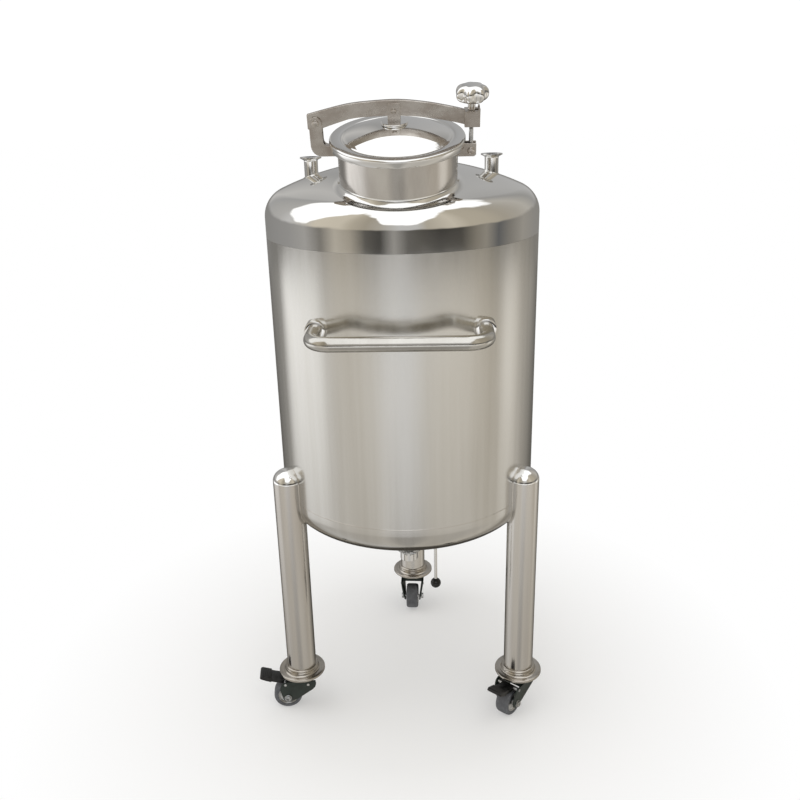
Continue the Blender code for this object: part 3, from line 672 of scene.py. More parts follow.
# Manway
def build_manway():
    own = manway_frame()
    inner = NECK_RADIUS - WALL
    neck = [
        (inner, -0.012),
        (0.1299, -0.012),
        (0.1305, -0.0126),
        (0.1305, -0.0144),
        (0.1299, -0.015),
        (0.1285, -0.0155),
        (NECK_RADIUS, -0.0170),
        (NECK_RADIUS, -0.114),
        (inner, -0.114),
    ]
    replace(lathe("neck_tube", neck, "neck", "tank", own), "manway_neck")
    build_neck_fillet()
    seal = [(0.1304, -0.0033), (0.1304, -0.0117), (0.1250, -0.0117), (0.1250, -0.0033)]
    replace(lathe("seal_ring", seal, "seal", "lid", own), "lid_seal")
    replace(lathe("lid_sheet", lid_profile(), "mirror", "lid", own, BODY_STEPS, 60), "manway_lid")


def lid_profile():
    dome = (LID_DOME_RADIUS**2 + LID_RISE**2) / (2 * LID_RISE)
    top = []
    for i in range(25):
        r = LID_DOME_RADIUS * i / 24
        top.append((r, LID_RISE - dome + math.sqrt(dome * dome - r * r) + 0.0012))
    top += [(0.1135, 0.00095), (0.1150, 0.0003), (0.1165, -0.0005), (0.1180, -0.0010)]
    top += [(0.1195, -0.0011), (0.1210, -0.0008), (RING_INNER, -0.0003), (RING_INNER + 0.0015, 0.0)]
    edge = arc((LID_RADIUS - 0.0045, -0.0045), 0.0045, 90, 0, 10)
    outer = top + [(0.1310, 0.0002)] + edge
    outer += [(LID_RADIUS, -0.0155), (LID_RADIUS - 0.0005, -0.016), (LID_RADIUS - 0.0025, -0.016)]
    outer += [(LID_RADIUS - 0.003, -0.0155)]
    inner = [(LID_RADIUS - 0.003, -0.0052), (0.1385, -0.0030), (RING_INNER, -0.0030)]
    inner += [(0.1180, -0.0040)]
    inner += [(r, h - 0.003) for r, h in reversed(top[:25])]
    return outer + inner


# Lid arm and its clamp
def arm_outline():
    top = ((-0.186, 0.048), (-0.144, 0.0585), (-0.097, 0.0685), (-0.047, 0.0730), (0.004, 0.0745))
    top += ((0.055, 0.0695), (0.106, 0.0600), (0.145, 0.0505))
    low = ((0.145, 0.0205), (0.106, 0.0300), (0.055, 0.0385), (0.004, 0.0425), (-0.050, 0.0420))
    low += ((-0.092, 0.0385), (-0.118, 0.0315), (-0.153, 0.0205), (-0.176, 0.0140), (-0.186, 0.0185))
    line = [(x, z) for x, z, _ in smooth_line([(x, z, 0) for x, z in top], 4)]
    line += [(x, z) for x, z, _ in smooth_line([(x, z, 0) for x, z in low[:8]], 4)]
    return line + list(low[8:])


def build_arm():
    own = manway_frame()
    arm = plate("arm_bar", arm_outline(), -0.005, 0.005, "warm", None, own, 0.0)
    x, z = ARM_PIN
    carve(arm, [pin("cut_pin", (x, -0.03, z), (x, 0.03, z), 0.0063, "warm", None, own)])
    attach(arm, "lid")
    round_edges(arm, 0.0009)
    replace(arm, "lid_arm")
    build_block(own)
    build_clip(own)
    build_ear(own)
    build_bolt(own)
    build_bracket(own)
    build_knob(own)


def round_edges(obj, width, segments=2):
    made = obj.modifiers.new("round", "BEVEL")
    made.width = width
    made.segments = segments
    made.limit_method = "ANGLE"
    made.angle_limit = math.radians(40)
    made.harden_normals = False
    made.use_clamp_overlap = True


def build_block(own):
    """The slotted end of the arm that the bolt lies in."""
    top = BLOCK_TOP
    outline = [(0.140, 0.019), (0.172, 0.019), (0.172, top + 0.005), (0.168, top + 0.005), (0.168, top)]
    outline += [(0.140, top)]
    block = plate("arm_end", outline, -0.016, 0.016, "warm", None, own, 0.0)
    slot = [(0.1475, 0.0), (0.200, 0.0), (0.200, 0.080), (0.1475, 0.080)]
    carve(block, [plate("cut_slot", slot, -0.0065, 0.0065, "warm", None, own, 0.0)])
    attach(block, "lid")
    round_edges(block, 0.0008)


def build_clip(own):
    """The saddle that hangs the lid from the arm, on its round boss."""
    wide = 0.0078
    left, right = CLIP_X - 0.0132, CLIP_X + 0.0132
    outline = [(left, 0.0285), (right, 0.0285), (right, 0.0687), (left, 0.0687)]
    clip = plate("clip_saddle", outline, -wide, wide, "warm", None, own, 0.0)
    slot = [(-0.04, 0.0405), (0.04, 0.0405), (0.04, 0.090), (-0.04, 0.090)]
    carve(clip, [plate("cut_clip", slot, -0.0053, 0.0053, "warm", None, own, 0.0)])
    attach(clip, "lid")
    round_edges(clip, 0.0007)
    replace(clip, "lid_clip")
    low = LID_RISE + 0.0002
    boss = [(0.0, 0.0301), (0.0262, 0.0301), (0.0278, 0.0297), (0.0285, 0.0288), (0.0285, low), (0.0, low)]
    lathe("clip_boss", boss, "bright", "lid", own @ Matrix.Translation((CLIP_X, 0, 0)), SMALL_STEPS, 50)
    for side, way in (("front", -1), ("back", 1)):
        y = way * wide
        domed_head("clip_rivet_" + side, (-0.006, y, 0.0529), (-0.006, y * 1.26, 0.0529), 0.0058, "warm", "lid", own)


def ear_outline():
    x, z = ARM_PIN
    outline = arc((x, z), 0.0135, 180, 0, 20)
    outline += [(-0.1555, -0.006), (-0.1548, -0.0110), (-0.1525, -0.0145), (-0.147, -0.0172), (-0.120, -0.0172)]
    outline += [(-0.120, -0.039), (-0.161, -0.039)]
    outline += [(-0.1665, -0.0380), (-0.172, -0.0355), (-0.1762, -0.0320), (-0.179, -0.028), (-0.1812, -0.0225)]
    outline += [(-0.1824, -0.0170)]
    return outline


def build_ear(own):
    ear = plate("ear_clevis", ear_outline(), -0.0095, 0.0095, "warm", None, own, 0.0)
    slot = [(-0.21, -0.06), (-0.152, -0.06), (-0.152, 0.06), (-0.21, 0.06)]
    cutters = [plate("cut_ear", slot, -0.0055, 0.0055, "warm", None, own, 0.0)]
    cutters.append(neck_cutter(own))
    carve(ear, cutters)
    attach(ear, "tank")
    round_edges(ear, 0.0007)
    replace(ear, "hinge_ear")
    x, z = ARM_PIN
    pin("ear_pin", (x, -0.0100, z), (x, 0.0100, z), 0.006, "zinc", "tank", own)
    for side, way in (("front", -1), ("back", 1)):
        y = way * 0.0095
        domed_head("ear_rivet_" + side, (x, y, z), (x, y + way * 0.0022, z), 0.0075, "warm", "tank", own)


def neck_cutter(own):
    profile = [(0.0, 0.0), (NECK_RADIUS + 0.0002, 0.0), (NECK_RADIUS + 0.0002, -0.2), (0.0, -0.2)]
    return lathe("cut_round", profile, "warm", None, own)


def build_bolt(own):
    x, z = BOLT_X, BOLT_PIN_Z
    rod = threaded_rod("bolt_rod", x, z + 0.006, BLOCK_TOP - 0.0002, own)
    replace(rod, "swing_bolt")
    outline = arc((x, z), 0.0085, 0, 180, 16) + arc((x, z), 0.0050, 180, 0, 14)
    plate("bolt_hook", outline, -0.0045, 0.0045, "zinc", "lid", own, 0.0005)


def threaded_rod(name, x, low, high, own):
    """A rod with a fine thread over its upper half, as stacked ridges."""
    radius = 0.00465
    pitch = 0.0012
    profile = [(0.0, high), (radius - 0.0006, high)]
    z = high - 0.0008
    while z > (low + high) / 2:
        profile += [(radius, z), (radius - 0.0006, z - pitch / 2)]
        z -= pitch
    profile += [(radius - 0.0001, z), (radius - 0.0001, low), (0.0, low)]
    return lathe(name, profile, "zinc", "lid", own @ Matrix.Translation((x, 0, 0)), PIN_STEPS, 20)


def build_bracket(own):
    x, z = BOLT_X, BOLT_PIN_Z
    outline = [(0.120, -0.0172), (0.1642, -0.0172), (0.1655, -0.0185), (0.1655, -0.0415), (0.1610, -0.0450)]
    outline += [(0.120, -0.0450)]
    bracket = plate("bolt_ears", outline, -0.0095, 0.0095, "warm", None, own, 0.0)
    slot = [(0.140, -0.07), (0.18, -0.07), (0.18, 0.0), (0.140, 0.0)]
    cutters = [plate("cut_bracket", slot, -0.0055, 0.0055, "warm", None, own, 0.0), neck_cutter(own)]
    carve(bracket, cutters)
    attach(bracket, "tank")
    round_edges(bracket, 0.0007)
    replace(bracket, "bolt_bracket")
    pin("bracket_pin", (x, -0.0100, z), (x, 0.0100, z), 0.0035, "zinc", "tank", own)
    for side, way in (("front", -1), ("back", 1)):
        y = way * 0.0095
        domed_head("bracket_rivet_" + side, (x, y, z), (x, y + way * 0.0040, z), 0.0078, "warm", "tank", own)


def build_knob(own):
    """The lobed hand knob, polished, over its stem."""
    own = own @ Matrix.Translation((BOLT_X, 0, 0))
    rings = (
        (0.0662, 0.30, 0.00), (0.0665, 0.46, 0.02), (0.0678, 0.62, 0.05), (0.0702, 0.79, 0.08),
        (0.0732, 0.90, 0.09), (0.0768, 0.97, 0.10), (0.0804, 0.995, 0.10), (0.0846, 1.00, 0.10),
        (0.0888, 0.985, 0.10), (0.0924, 0.94, 0.09), (0.0955, 0.87, 0.075), (0.0982, 0.76, 0.055),
        (0.1002, 0.60, 0.035), (0.1015, 0.42, 0.015), (0.1021, 0.24, 0.004), (0.1023, 0.08, 0.0),
    )
    count = 7 * 24
    shape = bmesh.new()
    made = []
    for height, size, depth in rings:
        ring = []
        for i in range(count):
            turn = 2 * math.pi * i / count
            radius = 0.035 * size * (1 - depth + depth * math.cos(7 * turn))
            ring.append(shape.verts.new((radius * math.cos(turn), radius * math.sin(turn), height)))
        made.append(ring)
    for low, high in zip(made, made[1:]):
        bridge(shape, low, high, count)
    shape.faces.new(made[0])
    shape.faces.new(list(reversed(made[-1])))
    knob = finish_mesh(shape, "knob_head", "mirror", "knob", own, 60)
    replace(knob, "star_knob")
    stem = [(0.0, 0.0690), (0.0078, 0.0690), (0.0078, 0.0525), (0.0072, 0.0515), (0.0, 0.0515)]
    lathe("knob_stem", stem, "bright", "knob", own, PIN_STEPS)


# Fittings
def build_vents():
    bore = VENT_RADIUS - WALL
    profile = [
        (bore, VENT_TOP),
        (FLANGE_RADIUS - 0.0004, VENT_TOP),
        (FLANGE_RADIUS, VENT_TOP - 0.0004),
        (FLANGE_RADIUS, VENT_TOP - 0.0028),
        (VENT_RADIUS + 0.0030, VENT_TOP - 0.0056),
        (VENT_RADIUS + 0.0012, VENT_TOP - 0.0066),
        (VENT_RADIUS + 0.0003, VENT_TOP - 0.0080),
        (VENT_RADIUS, VENT_TOP - 0.0100),
        (VENT_RADIUS, 1.376),
        (bore, 1.376),
    ]
    for side, x in (("left", -VENT_X), ("right", VENT_X)):
        own = Matrix.Translation((x, 0, 0))
        replace(lathe("vent_tube_" + side, profile, "bright", "tank", own, SMALL_STEPS), "vent_" + side)
        build_vent_weld(side, x)


def build_vent_weld(side, x):
    path = []
    for i in range(48):
        turn = 2 * math.pi * i / 48
        px, py = x + (VENT_RADIUS + 0.0008) * math.cos(turn), (VENT_RADIUS + 0.0008) * math.sin(turn)
        path.append((px, py, TANGENT_TOP + head_height(math.hypot(px, py)) + 0.0004))
    tube("vent_weld_" + side, path, 0.0017, "bright", "tank", None, 10, True)


def build_handle():
    corner = HANDLE_HALF - HANDLE_BEND
    bend = arc((corner, HANDLE_Y + HANDLE_BEND), HANDLE_BEND, -90, 0, 16)
    right = [(x, y, HANDLE_Z) for x, y in bend] + [(HANDLE_HALF, -0.300, HANDLE_Z), (HANDLE_HALF, -0.250, HANDLE_Z)]
    left = [(-x, y, z) for x, y, z in reversed(right)]
    bar = tube("handle_bar", left + right, HANDLE_RADIUS, "rail", None, None, 48)
    carve(bar, [vessel_cutter()])
    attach(bar, "tank")
    replace(bar, "push_handle")
    for side, x in (("left", -HANDLE_HALF), ("right", HANDLE_HALF)):
        own, _ = axis_frame((x, -0.245, HANDLE_Z), (x, -0.300, HANDLE_Z))
        far = 0.0418
        sleeve = [(0.0160, far), (0.0200, far), (0.0218, far - 0.0008), (0.0225, far - 0.0024)]
        sleeve += [(0.0225, 0.0), (0.0160, 0.0)]
        collar = lathe("handle_collar_" + side, sleeve, "bright", None, own, SMALL_STEPS, 60)
        carve(collar, [vessel_cutter()])
        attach(collar, "tank")


def vessel_cutter():
    """The outside of the vessel as one solid."""
    profile = [(0.0, SHELL_TOP), (SHELL_RADIUS + 0.0002, SHELL_TOP)]
    profile += [(r, TANGENT_BOTTOM - h) for r, h in head_curve(0.0002)]
    return lathe("cut_vessel", profile, "shell", None, None, BODY_STEPS)


# Legs
def leg_place(angle):
    turn = math.radians(angle)
    return Matrix.Translation((LEG_CIRCLE * math.cos(turn), LEG_CIRCLE * math.sin(turn), 0))


def build_legs():
    base = LEG_TOP - LEG_CAP
    outer = []
    inner = []
    for i in range(13):
        turn = math.radians(7.5 * i)
        outer.append((LEG_RADIUS * math.sin(turn), base + LEG_CAP * math.cos(turn)))
        within = (LEG_RADIUS - WALL) * math.sin(turn)
        inner.append((within, base + (LEG_CAP - WALL) * math.cos(turn)))
    cap = outer + inner[::-1]
    tube_profile = [
        (LEG_RADIUS, base - 0.0003),
        (LEG_RADIUS, LEG_BOTTOM),
        (LEG_RADIUS - WALL, LEG_BOTTOM),
        (LEG_RADIUS - WALL, base - 0.0003),
    ]
    for side, angle, _ in LEGS:
        own = leg_place(angle)
        leg = lathe("leg_tube_" + side, tube_profile, "leg", None, own, 72)
        carve(leg, [vessel_cutter()])
        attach(leg, "tank")
        replace(leg, "leg_" + side)
        top = lathe("leg_cap_" + side, cap, "bright", None, own, 72)
        carve(top, [vessel_cutter()])
        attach(top, "tank")
        build_leg_weld(side, angle)
        build_foot(side, own)


def build_leg_weld(side, angle):
    """The weld bead along the line where the leg meets the vessel."""
    base = LEG_TOP - LEG_CAP
    meet = (SHELL_RADIUS**2 - LEG_CIRCLE**2 - LEG_RADIUS**2) / (2 * LEG_CIRCLE * LEG_RADIUS)
    side_turn = math.acos(meet)
    half = []
    for i in range(13):
        turn = math.pi + (side_turn - math.pi) * i / 12
        x = LEG_CIRCLE + LEG_RADIUS * math.cos(turn)
        y = LEG_RADIUS * math.sin(turn)
        half.append((x, y, TANGENT_BOTTOM - head_height(math.hypot(x, y))))
    x, y = LEG_CIRCLE + LEG_RADIUS * math.cos(side_turn), LEG_RADIUS * math.sin(side_turn)
    half += [(x, y, SHELL_BOTTOM + (base - SHELL_BOTTOM) * k / 8) for k in range(9)]
    least = LEG_CIRCLE - SHELL_RADIUS
    for k in range(1, 11):
        width = LEG_RADIUS + (least - LEG_RADIUS) * (1 - (1 - k / 10) ** 2)
        z = base + LEG_CAP * math.sqrt(max(1 - (width / LEG_RADIUS) ** 2, 0.0))
        cosine = max((SHELL_RADIUS**2 - LEG_CIRCLE**2 - width**2) / (2 * LEG_CIRCLE * width), -1.0)
        turn = math.acos(cosine)
        half.append((LEG_CIRCLE + width * math.cos(turn), width * math.sin(turn), z))
    path = half + [(x, -y, z) for x, y, z in half[-2:0:-1]]
    own = Matrix.Rotation(math.radians(angle), 4, "Z")
    tube("leg_weld_" + side, path, 0.0016, "leg", "tank", own, 10, True)


def build_foot(side, own):
    inner = LEG_RADIUS + 0.0002
    profile = [
        (0.0, LEG_BOTTOM - 0.0003),
        (inner, LEG_BOTTOM - 0.0003),
        (inner, 0.1318),
        (0.0396, 0.1318),
        (0.0412, 0.1312),
        (0.0425, 0.1300),
        (0.0430, 0.1284),
        (0.0428, 0.1266),
        (0.0420, 0.1252),
        (0.0432, 0.1240),
        (0.0440, 0.1222),
        (0.0441, 0.1204),
        (0.0452, 0.1184),
        (0.0475, 0.1170),
        (0.0500, 0.1165),
        (FOOT_RADIUS - 0.0012, 0.1165),
        (FOOT_RADIUS - 0.0004, 0.1161),
        (FOOT_RADIUS, 0.1152),
        (FOOT_RADIUS, 0.1112),
        (FOOT_RADIUS - 0.0010, FOOT_BOTTOM),
        (0.0, FOOT_BOTTOM),
    ]
    replace(lathe("foot_plate_" + side, profile, "foot", "tank", own, 96, 50), "foot_" + side)


# Castors
def build_castors():
    for side, angle, heading in LEGS:
        own = leg_place(angle) @ Matrix.Rotation(math.radians(heading), 4, "Z")
        swivel = [(0.0, 0.1097), (0.0422, 0.1097), (0.0430, 0.1090), (0.0430, 0.1062), (0.0422, 0.1048)]
        swivel += [(0.0402, 0.1030), (0.0380, 0.1018), (0.0366, 0.1012), (0.0, 0.1012)]
        replace(lathe("race_" + side, swivel, "green", "tank", own, SMALL_STEPS), "swivel_" + side)
        build_fork(side, own)
        build_wheel(side, own)
        if side != "rear":
            build_pedal(side, own)


def cheek_outline():
    line = [(-0.034, 0.094), (-0.0352, 0.087), (-0.035, 0.080), (-0.0325, 0.071), (-0.026, 0.063), (-0.012, 0.0525)]
    line += [(0.004, 0.0405), (0.018, 0.030), (0.0270, 0.0270)]
    line += arc((TRAIL, WHEEL_RADIUS), 0.014, 240, 360, 12)
    line += [(0.0585, 0.050), (0.0615, 0.064), (0.0610, 0.076), (0.0575, 0.085), (0.0510, 0.0915), (0.042, 0.094)]
    return line


def build_fork(side, own):
    body = "castor_" + side
    crown = [(0.0, 0.1009), (0.0322, 0.1009), (0.0342, 0.1002), (0.0356, 0.0985), (0.0360, 0.0960)]
    crown += [(0.0342, 0.0870), (0.0330, 0.0860), (0.0, 0.0860)]
    fork = lathe("fork_crown_" + side, crown, "green", body, own, SMALL_STEPS)
    replace(fork, "fork_" + side)
    bridge_line = [(-0.026, 0.0845), (0.033, 0.0845), (0.033, 0.094), (-0.026, 0.094)]
    plate("fork_bridge_" + side, bridge_line, -0.0333, 0.0333, "green", body, own, 0.0012)
    outline = cheek_outline()
    for way, low, high in (("a", -FORK_OUTSIDE, -FORK_INSIDE), ("b", FORK_INSIDE, FORK_OUTSIDE)):
        sign = -1 if way == "a" else 1
        plate(f"fork_cheek_{way}_{side}", outline, low, high, "green", body, own, 0.0010, 2, sign)
        for k, (x, z) in enumerate(((-0.014, 0.082), (0.046, 0.086))):
            start = (x, sign * (FORK_OUTSIDE + splay(z)), z)
            end = (x, sign * (FORK_OUTSIDE + splay(z) + 0.0021), z)
            domed_head(f"fork_rivet_{way}_{k}_{side}", start, end, 0.0038, "zinc", body, own, 20)


def build_wheel(side, own):
    z = WHEEL_RADIUS
    body = "castor_" + side
    axle = pin("axle_bar_" + side, (TRAIL, -0.0344, z), (TRAIL, 0.0344, z), 0.004, "zinc", body, own, 24)
    replace(axle, "axle_" + side)
    inside = 0.0284
    for way, sign in (("a", -1), ("b", 1)):
        start, middle, end = ((TRAIL, sign * (inside + step), z) for step in (0.0, 0.0012, 0.0060))
        pin(f"axle_washer_{way}_{side}", start, middle, 0.0096, "zinc", body, own)
        pin(f"axle_nut_{way}_{side}", middle, end, 0.0082, "zinc", body, own, 6)
    lie = own @ Matrix.Translation((TRAIL, 0, z)) @ Matrix.Rotation(math.radians(90), 4, "X")
    hub = []
    for sign, order in ((1, 1), (-1, -1)):
        half = [(0.0044, 0.0190), (0.0080, 0.0190), (0.0085, 0.0185), (0.0090, 0.0150), (0.0110, 0.0138)]
        half += [(0.0190, 0.0130), (0.0225, 0.0136), (0.0245, 0.0164), (0.0255, 0.0170), (0.0262, 0.0168)]
        part = [(r, sign * h) for r, h in half]
        hub += part[::order]
    wheel = "wheel_" + side
    replace(lathe("hub_disc_" + side, hub, "zinc", wheel, lie, 64), "hub_" + side)
    tyre = [(0.0265, 0.0175), (0.0280, 0.0180), (0.0335, 0.0180)]
    tyre += [(r, 0.0090 + 0.0090 * (h - 0.0335) / 0.0045) for r, h in arc((0.0335, 0.0335), 0.0045, 75, 0, 5)]
    tyre += [(r, -h) for r, h in reversed(tyre)]
    replace(lathe("tyre_ring_" + side, tyre, "tyre", wheel, lie, 96), "tyre_" + side)


def build_pedal(side, own):
    x, z = 0.046, 0.086
    outline = arc((x, z), 0.0060, 60, 240, 10)
    outline += [(0.050, 0.0785), (0.070, 0.084), (0.086, 0.0888), (0.086, 0.0996), (0.072, 0.0955), (0.054, 0.0905)]
    body = "pedal_" + side
    replace(plate("pedal_lever_" + side, outline, -0.0185, 0.0185, "black", body, own, 0.0010), "pedal_" + side)
    tread = [(0.084, 0.0876), (0.098, 0.0930), (0.1110, 0.0990), (0.1135, 0.1018), (0.1138, 0.1045), (0.1120, 0.1072)]
    tread += [(0.1080, 0.1089), (0.096, 0.1052), (0.084, 0.1014)]
    plate("pedal_tread_" + side, tread, -0.0210, 0.0210, "black", body, own, 0.0012)
    pin("pedal_pin_" + side, (x, -0.0296, z), (x, 0.0296, z), 0.0045, "zinc", body, own, 20)
    for k in range(4):
        px = 0.0875 + 0.005 * k
        pz = 0.1018 + 0.0016 * k
        pin(f"pedal_rib_{k}_{side}", (px, -0.0190, pz), (px, 0.0190, pz), 0.0012, "black", body, own, 12, 0.0003)


# Bottom outlet
def build_outlet():
    bore = OUTLET_BORE
    wide = FLANGE_RADIUS
    pipe = [(OUTLET_RADIUS, 0.500), (OUTLET_RADIUS, 0.4575), (0.0205, 0.4558), (wide, 0.4525), (wide, 0.4492)]
    pipe += [(bore, 0.4492), (bore, 0.500)]
    replace(lathe("outlet_neck", pipe, "bright", "tank", None, SMALL_STEPS), "outlet_pipe")
    valve = [(wide, 0.4489), (wide, 0.4457), (0.0205, 0.4432), (OUTLET_RADIUS, 0.4418), (OUTLET_RADIUS, 0.4375)]
    valve += [(0.0200, 0.4362), (0.0310, 0.4355), (0.0320, 0.4345), (0.0320, 0.4185), (0.0340, 0.4180)]
    valve += [(0.0345, 0.4175), (0.0345, 0.4145), (0.0340, 0.4140), (0.0320, 0.4135), (0.0320, 0.4070)]
    valve += [(0.0310, 0.4060), (0.0200, 0.4053), (OUTLET_RADIUS, 0.4040), (OUTLET_RADIUS, 0.3970)]
    valve += [(0.0205, 0.3955), (wide, 0.3937), (wide, 0.39055), (bore, 0.39055), (bore, 0.4489)]
    replace(lathe("valve_housing", valve, "bright", "tank", None, SMALL_STEPS), "valve_body")
    nozzle = [(wide, 0.39025), (wide, 0.3871), (0.0248, 0.3860), (0.0240, 0.3850), (0.0240, 0.3545), (0.0235, 0.3540)]
    nozzle += [(0.0209, 0.3540), (0.0205, 0.3545), (0.0205, 0.3855), (bore, 0.3875), (bore, 0.39025)]
    replace(lathe("nozzle_tube", nozzle, "bright", "tank", None, SMALL_STEPS), "outlet_nozzle")
    build_clamp("upper", 0.4491, 0.0335)
    build_clamp("lower", 0.3904, 0.0355)
    build_lever()
    path = []
    for i in range(48):
        turn = 2 * math.pi * i / 48
        radius = OUTLET_RADIUS + 0.0012
        path.append((radius * math.cos(turn), radius * math.sin(turn), TANGENT_BOTTOM - head_height(radius) - 0.0004))
    tube("outlet_weld", path, 0.0018, "leg", "tank", None, 10, True)


def build_clamp(name, middle, radius):
    """A clamp ring, drawn in one piece without the real clamp's hinge, with its bolt ears, its bolt and its nut."""
    inner = FLANGE_RADIUS + 0.0003
    ring = [
        (radius - 0.0035, middle + 0.0070),
        (radius - 0.0010, middle + 0.0062),
        (radius, middle + 0.0045),
        (radius, middle - 0.0045),
        (radius - 0.0010, middle - 0.0062),
        (radius - 0.0035, middle - 0.0070),
        (inner, middle - 0.0070),
        (inner, middle + 0.0070),
    ]
    clamp = lathe("clamp_ring_" + name, ring, "zinc", "tank", None, 64)
    replace(clamp, "clamp_" + name)
    near = -radius - 0.0095
    for k, x in enumerate((-0.0052, 0.0052)):
        outline = [(x - 0.0018, middle - 0.0055), (x + 0.0018, middle - 0.0055)]
        outline += [(x + 0.0018, middle + 0.0055), (x - 0.0018, middle + 0.0055)]
        plate(f"clamp_ear_{k}_{name}", outline, near, 0.003 - radius, "zinc", "tank", None, 0.0006)
    bolt_y = near + 0.0045
    pin("clamp_bolt_" + name, (-0.016, bolt_y, middle), (0.020, bolt_y, middle), 0.0024, "zinc", "tank", None, 16, 0.0004)
    pin("clamp_nut_" + name, (0.0073, bolt_y, middle), (0.0125, bolt_y, middle), 0.0046, "zinc", "tank", None, 6, 0.0004)
    pin("clamp_head_" + name, (-0.0120, bolt_y, middle), (-0.0073, bolt_y, middle), 0.0042, "zinc", "tank", None, 20, 0.0004)


def build_lever():
    stem = pin("lever_stem", (0.0348, 0, LEVER_Z), (LEVER_X + 0.006, 0, LEVER_Z), 0.006, "zinc", "lever")
    replace(stem, "valve_lever")
    low = BALL_Z + BALL_RADIUS * 0.93 + 0.0003
    pin("lever_rod", (LEVER_X, 0, low), (LEVER_X, 0, LEVER_Z), 0.0043, "bright", "lever")
    profile = [(0.0, BALL_RADIUS * 0.93)]
    profile += [(BALL_RADIUS * math.cos(math.radians(a)), BALL_RADIUS * math.sin(math.radians(a))) for a in range(68, -90, -6)]
    profile += [(0.0, -BALL_RADIUS)]
    own = Matrix.Translation((LEVER_X, 0, BALL_Z))
    replace(lathe("ball_grip", profile, "ball", "lever", own, 64, 50), "lever_ball")


def replace(obj, node):
    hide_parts(node)


# Camera, light and floor
def build_camera():
    data = bpy.data.cameras.new("camera")
    data.sensor_width = 36.0
    data.lens = 38.25
    data.clip_end = 60.0
    camera = bpy.data.objects.new("camera", data)
    bpy.context.scene.collection.objects.link(camera)
    right = Vector((0.99923191, 0.03224197, -0.02227211))
    up = Vector((0.00965207, 0.34834592, 0.93731636))
    back = -Vector((-0.03797932, 0.93681139, -0.34776715))
    place = Matrix((right, up, back)).transposed().to_4x4()
    place.translation = Vector((0.0682, -2.0624, 1.5855)) + SHIFT
    camera.matrix_world = place
    bpy.context.scene.camera = camera


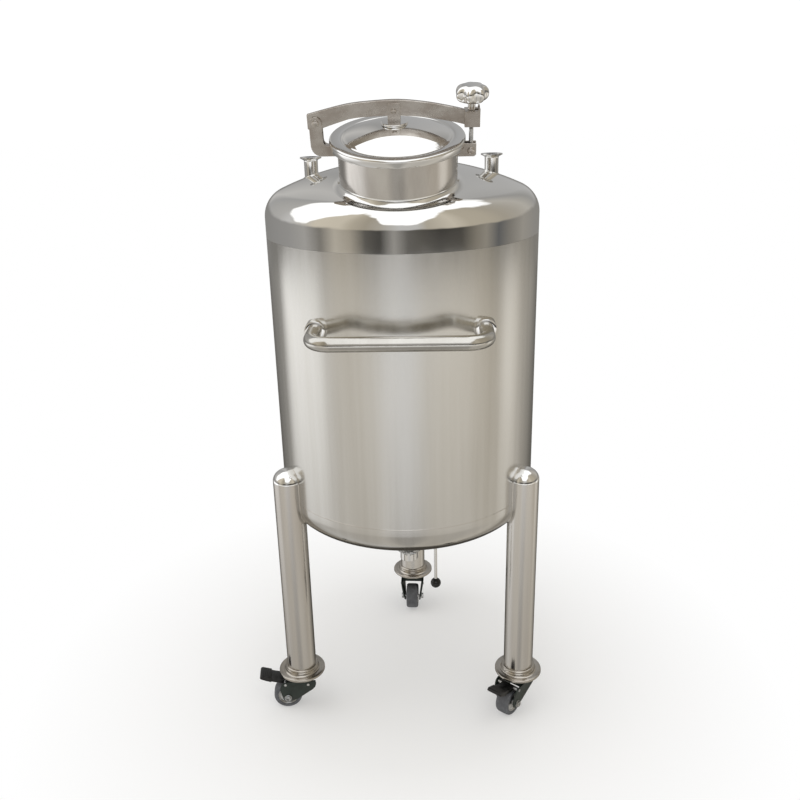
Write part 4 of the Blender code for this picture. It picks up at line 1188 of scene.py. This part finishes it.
def build_world():
    """Bright sky over a skyline whose height and tone change all the way round, and a paler ground."""
    world = bpy.data.worlds.new("studio")
    bpy.context.scene.world = world
    world.use_nodes = True
    tree = Tree(world.node_tree)
    where = tree.node("ShaderNodeTexCoord")
    split = tree.node("ShaderNodeSeparateXYZ")
    tree.link(where.outputs["Generated"], split.inputs["Vector"])
    x, y, z = (split.outputs[axis] for axis in "XYZ")
    wobble = tree.node("ShaderNodeTexNoise")
    wobble.inputs["Scale"].default_value = 3.5
    wobble.inputs["Detail"].default_value = 2.0
    tree.link(where.outputs["Generated"], wobble.inputs["Vector"])
    rise = tree.math("MULTIPLY", tree.math("ARCSINE", z), 180 / math.pi)
    sway = tree.math("MULTIPLY", tree.math("SUBTRACT", wobble.outputs["Fac"], 0.5), 14.0)
    sway = tree.math("MULTIPLY", sway, tree.span(rise, 0.0, 1.0, -8.0, 10.0))
    rise = tree.math("ADD", rise, sway)
    turn = tree.math("ARCTAN2", x, tree.math("MULTIPLY", y, -1.0))
    turn = tree.span(turn, 0.0, 1.0, -math.pi, math.pi)
    skyline = tree.math("MULTIPLY", tree.around(turn, [(at, height / 90, 0.0) for at, height in SKYLINE]), 90.0)
    above = tree.span(tree.math("SUBTRACT", rise, skyline), 0.0, 1.0, -1.5, 2.5)
    over_low = tree.span(rise, 0.0, 1.0, 1.0, 6.0)
    over_paving = tree.span(rise, 0.0, 1.0, -11.5, -10.9)
    straight_down = tree.span(rise, 1.0, 0.0, -36.0, -12.0)
    lower = tree.mix(straight_down, tree.around(turn, PAVING), tree.around(turn, UNDERFOOT))
    lower = tree.mix(over_paving, lower, tree.around(turn, NEAR_LOW))
    lower = tree.mix(over_low, lower, tree.around(turn, HORIZON))
    sky = tree.node("ShaderNodeRGB")
    sky.outputs[0].default_value = (*SKY, 1.0)
    seen = tree.node("ShaderNodeBackground")
    tree.link(tree.mix(above, lower, sky.outputs[0]), seen.inputs["Color"])
    seen.inputs["Strength"].default_value = WORLD_STRENGTH
    plain = tree.node("ShaderNodeBackground")
    plain.inputs["Color"].default_value = (1, 1, 1, 1)
    plain.inputs["Strength"].default_value = 1.05
    choose = tree.node("ShaderNodeMixShader")
    path = tree.node("ShaderNodeLightPath")
    tree.link(path.outputs["Is Camera Ray"], choose.inputs["Fac"])
    tree.link(seen.outputs["Background"], choose.inputs[1])
    tree.link(plain.outputs["Background"], choose.inputs[2])
    tree.link(choose.outputs["Shader"], tree.nodes["World Output"].inputs["Surface"])


def build_lights():
    for name, place, size, power in (
        ("key", (-1.6, -1.4, 4.6), 2.6, 16.0),
        ("fill", (1.8, -1.0, 4.6), 2.6, 8.0),
    ):
        data = bpy.data.lights.new(name, "AREA")
        data.size = size
        data.energy = power
        light = bpy.data.objects.new(name, data)
        bpy.context.scene.collection.objects.link(light)
        light.location = place
        light.visible_glossy = False
        aim = Vector((0, 0, 0.9)) - Vector(place)
        light.rotation_euler = aim.to_track_quat("-Z", "Y").to_euler()


def build_floor():
    """A pale floor that fades into the white of the view away from the object."""
    mesh = bpy.data.meshes.new("floor")
    size = 30.0
    mesh.from_pydata([(-size, -size, 0), (size, -size, 0), (size, size, 0), (-size, size, 0)], [], [(0, 1, 2, 3)])
    floor = bpy.data.objects.new("floor", mesh)
    bpy.context.scene.collection.objects.link(floor)
    look = Look("pale_floor", (0.88, 0.88, 0.88), 0.0, 0.9)
    mesh.materials.append(look.material)
    where = look.node("ShaderNodeTexCoord")
    away = look.node("ShaderNodeVectorMath", operation="LENGTH")
    look.link(where.outputs["Object"], away.inputs[0])
    fade = look.span(away.outputs["Value"], 0.35, 1.0, 0.40, 1.05)
    glow = look.node("ShaderNodeEmission")
    glow.inputs["Strength"].default_value = 1.0
    choose = look.node("ShaderNodeMixShader")
    look.link(fade, choose.inputs["Fac"])
    look.link(look.shader.outputs["BSDF"], choose.inputs[1])
    look.link(glow.outputs["Emission"], choose.inputs[2])
    look.link(choose.outputs["Shader"], look.nodes["Material Output"].inputs["Surface"])
    floor.visible_glossy = False


LOOKS = make_materials()
build_camera()
build_world()
build_lights()
build_floor()
build_vessel()
build_manway()
build_arm()
build_vents()
build_handle()
build_legs()
build_castors()
build_outlet()
bpy.context.scene.view_settings.view_transform = "Standard"
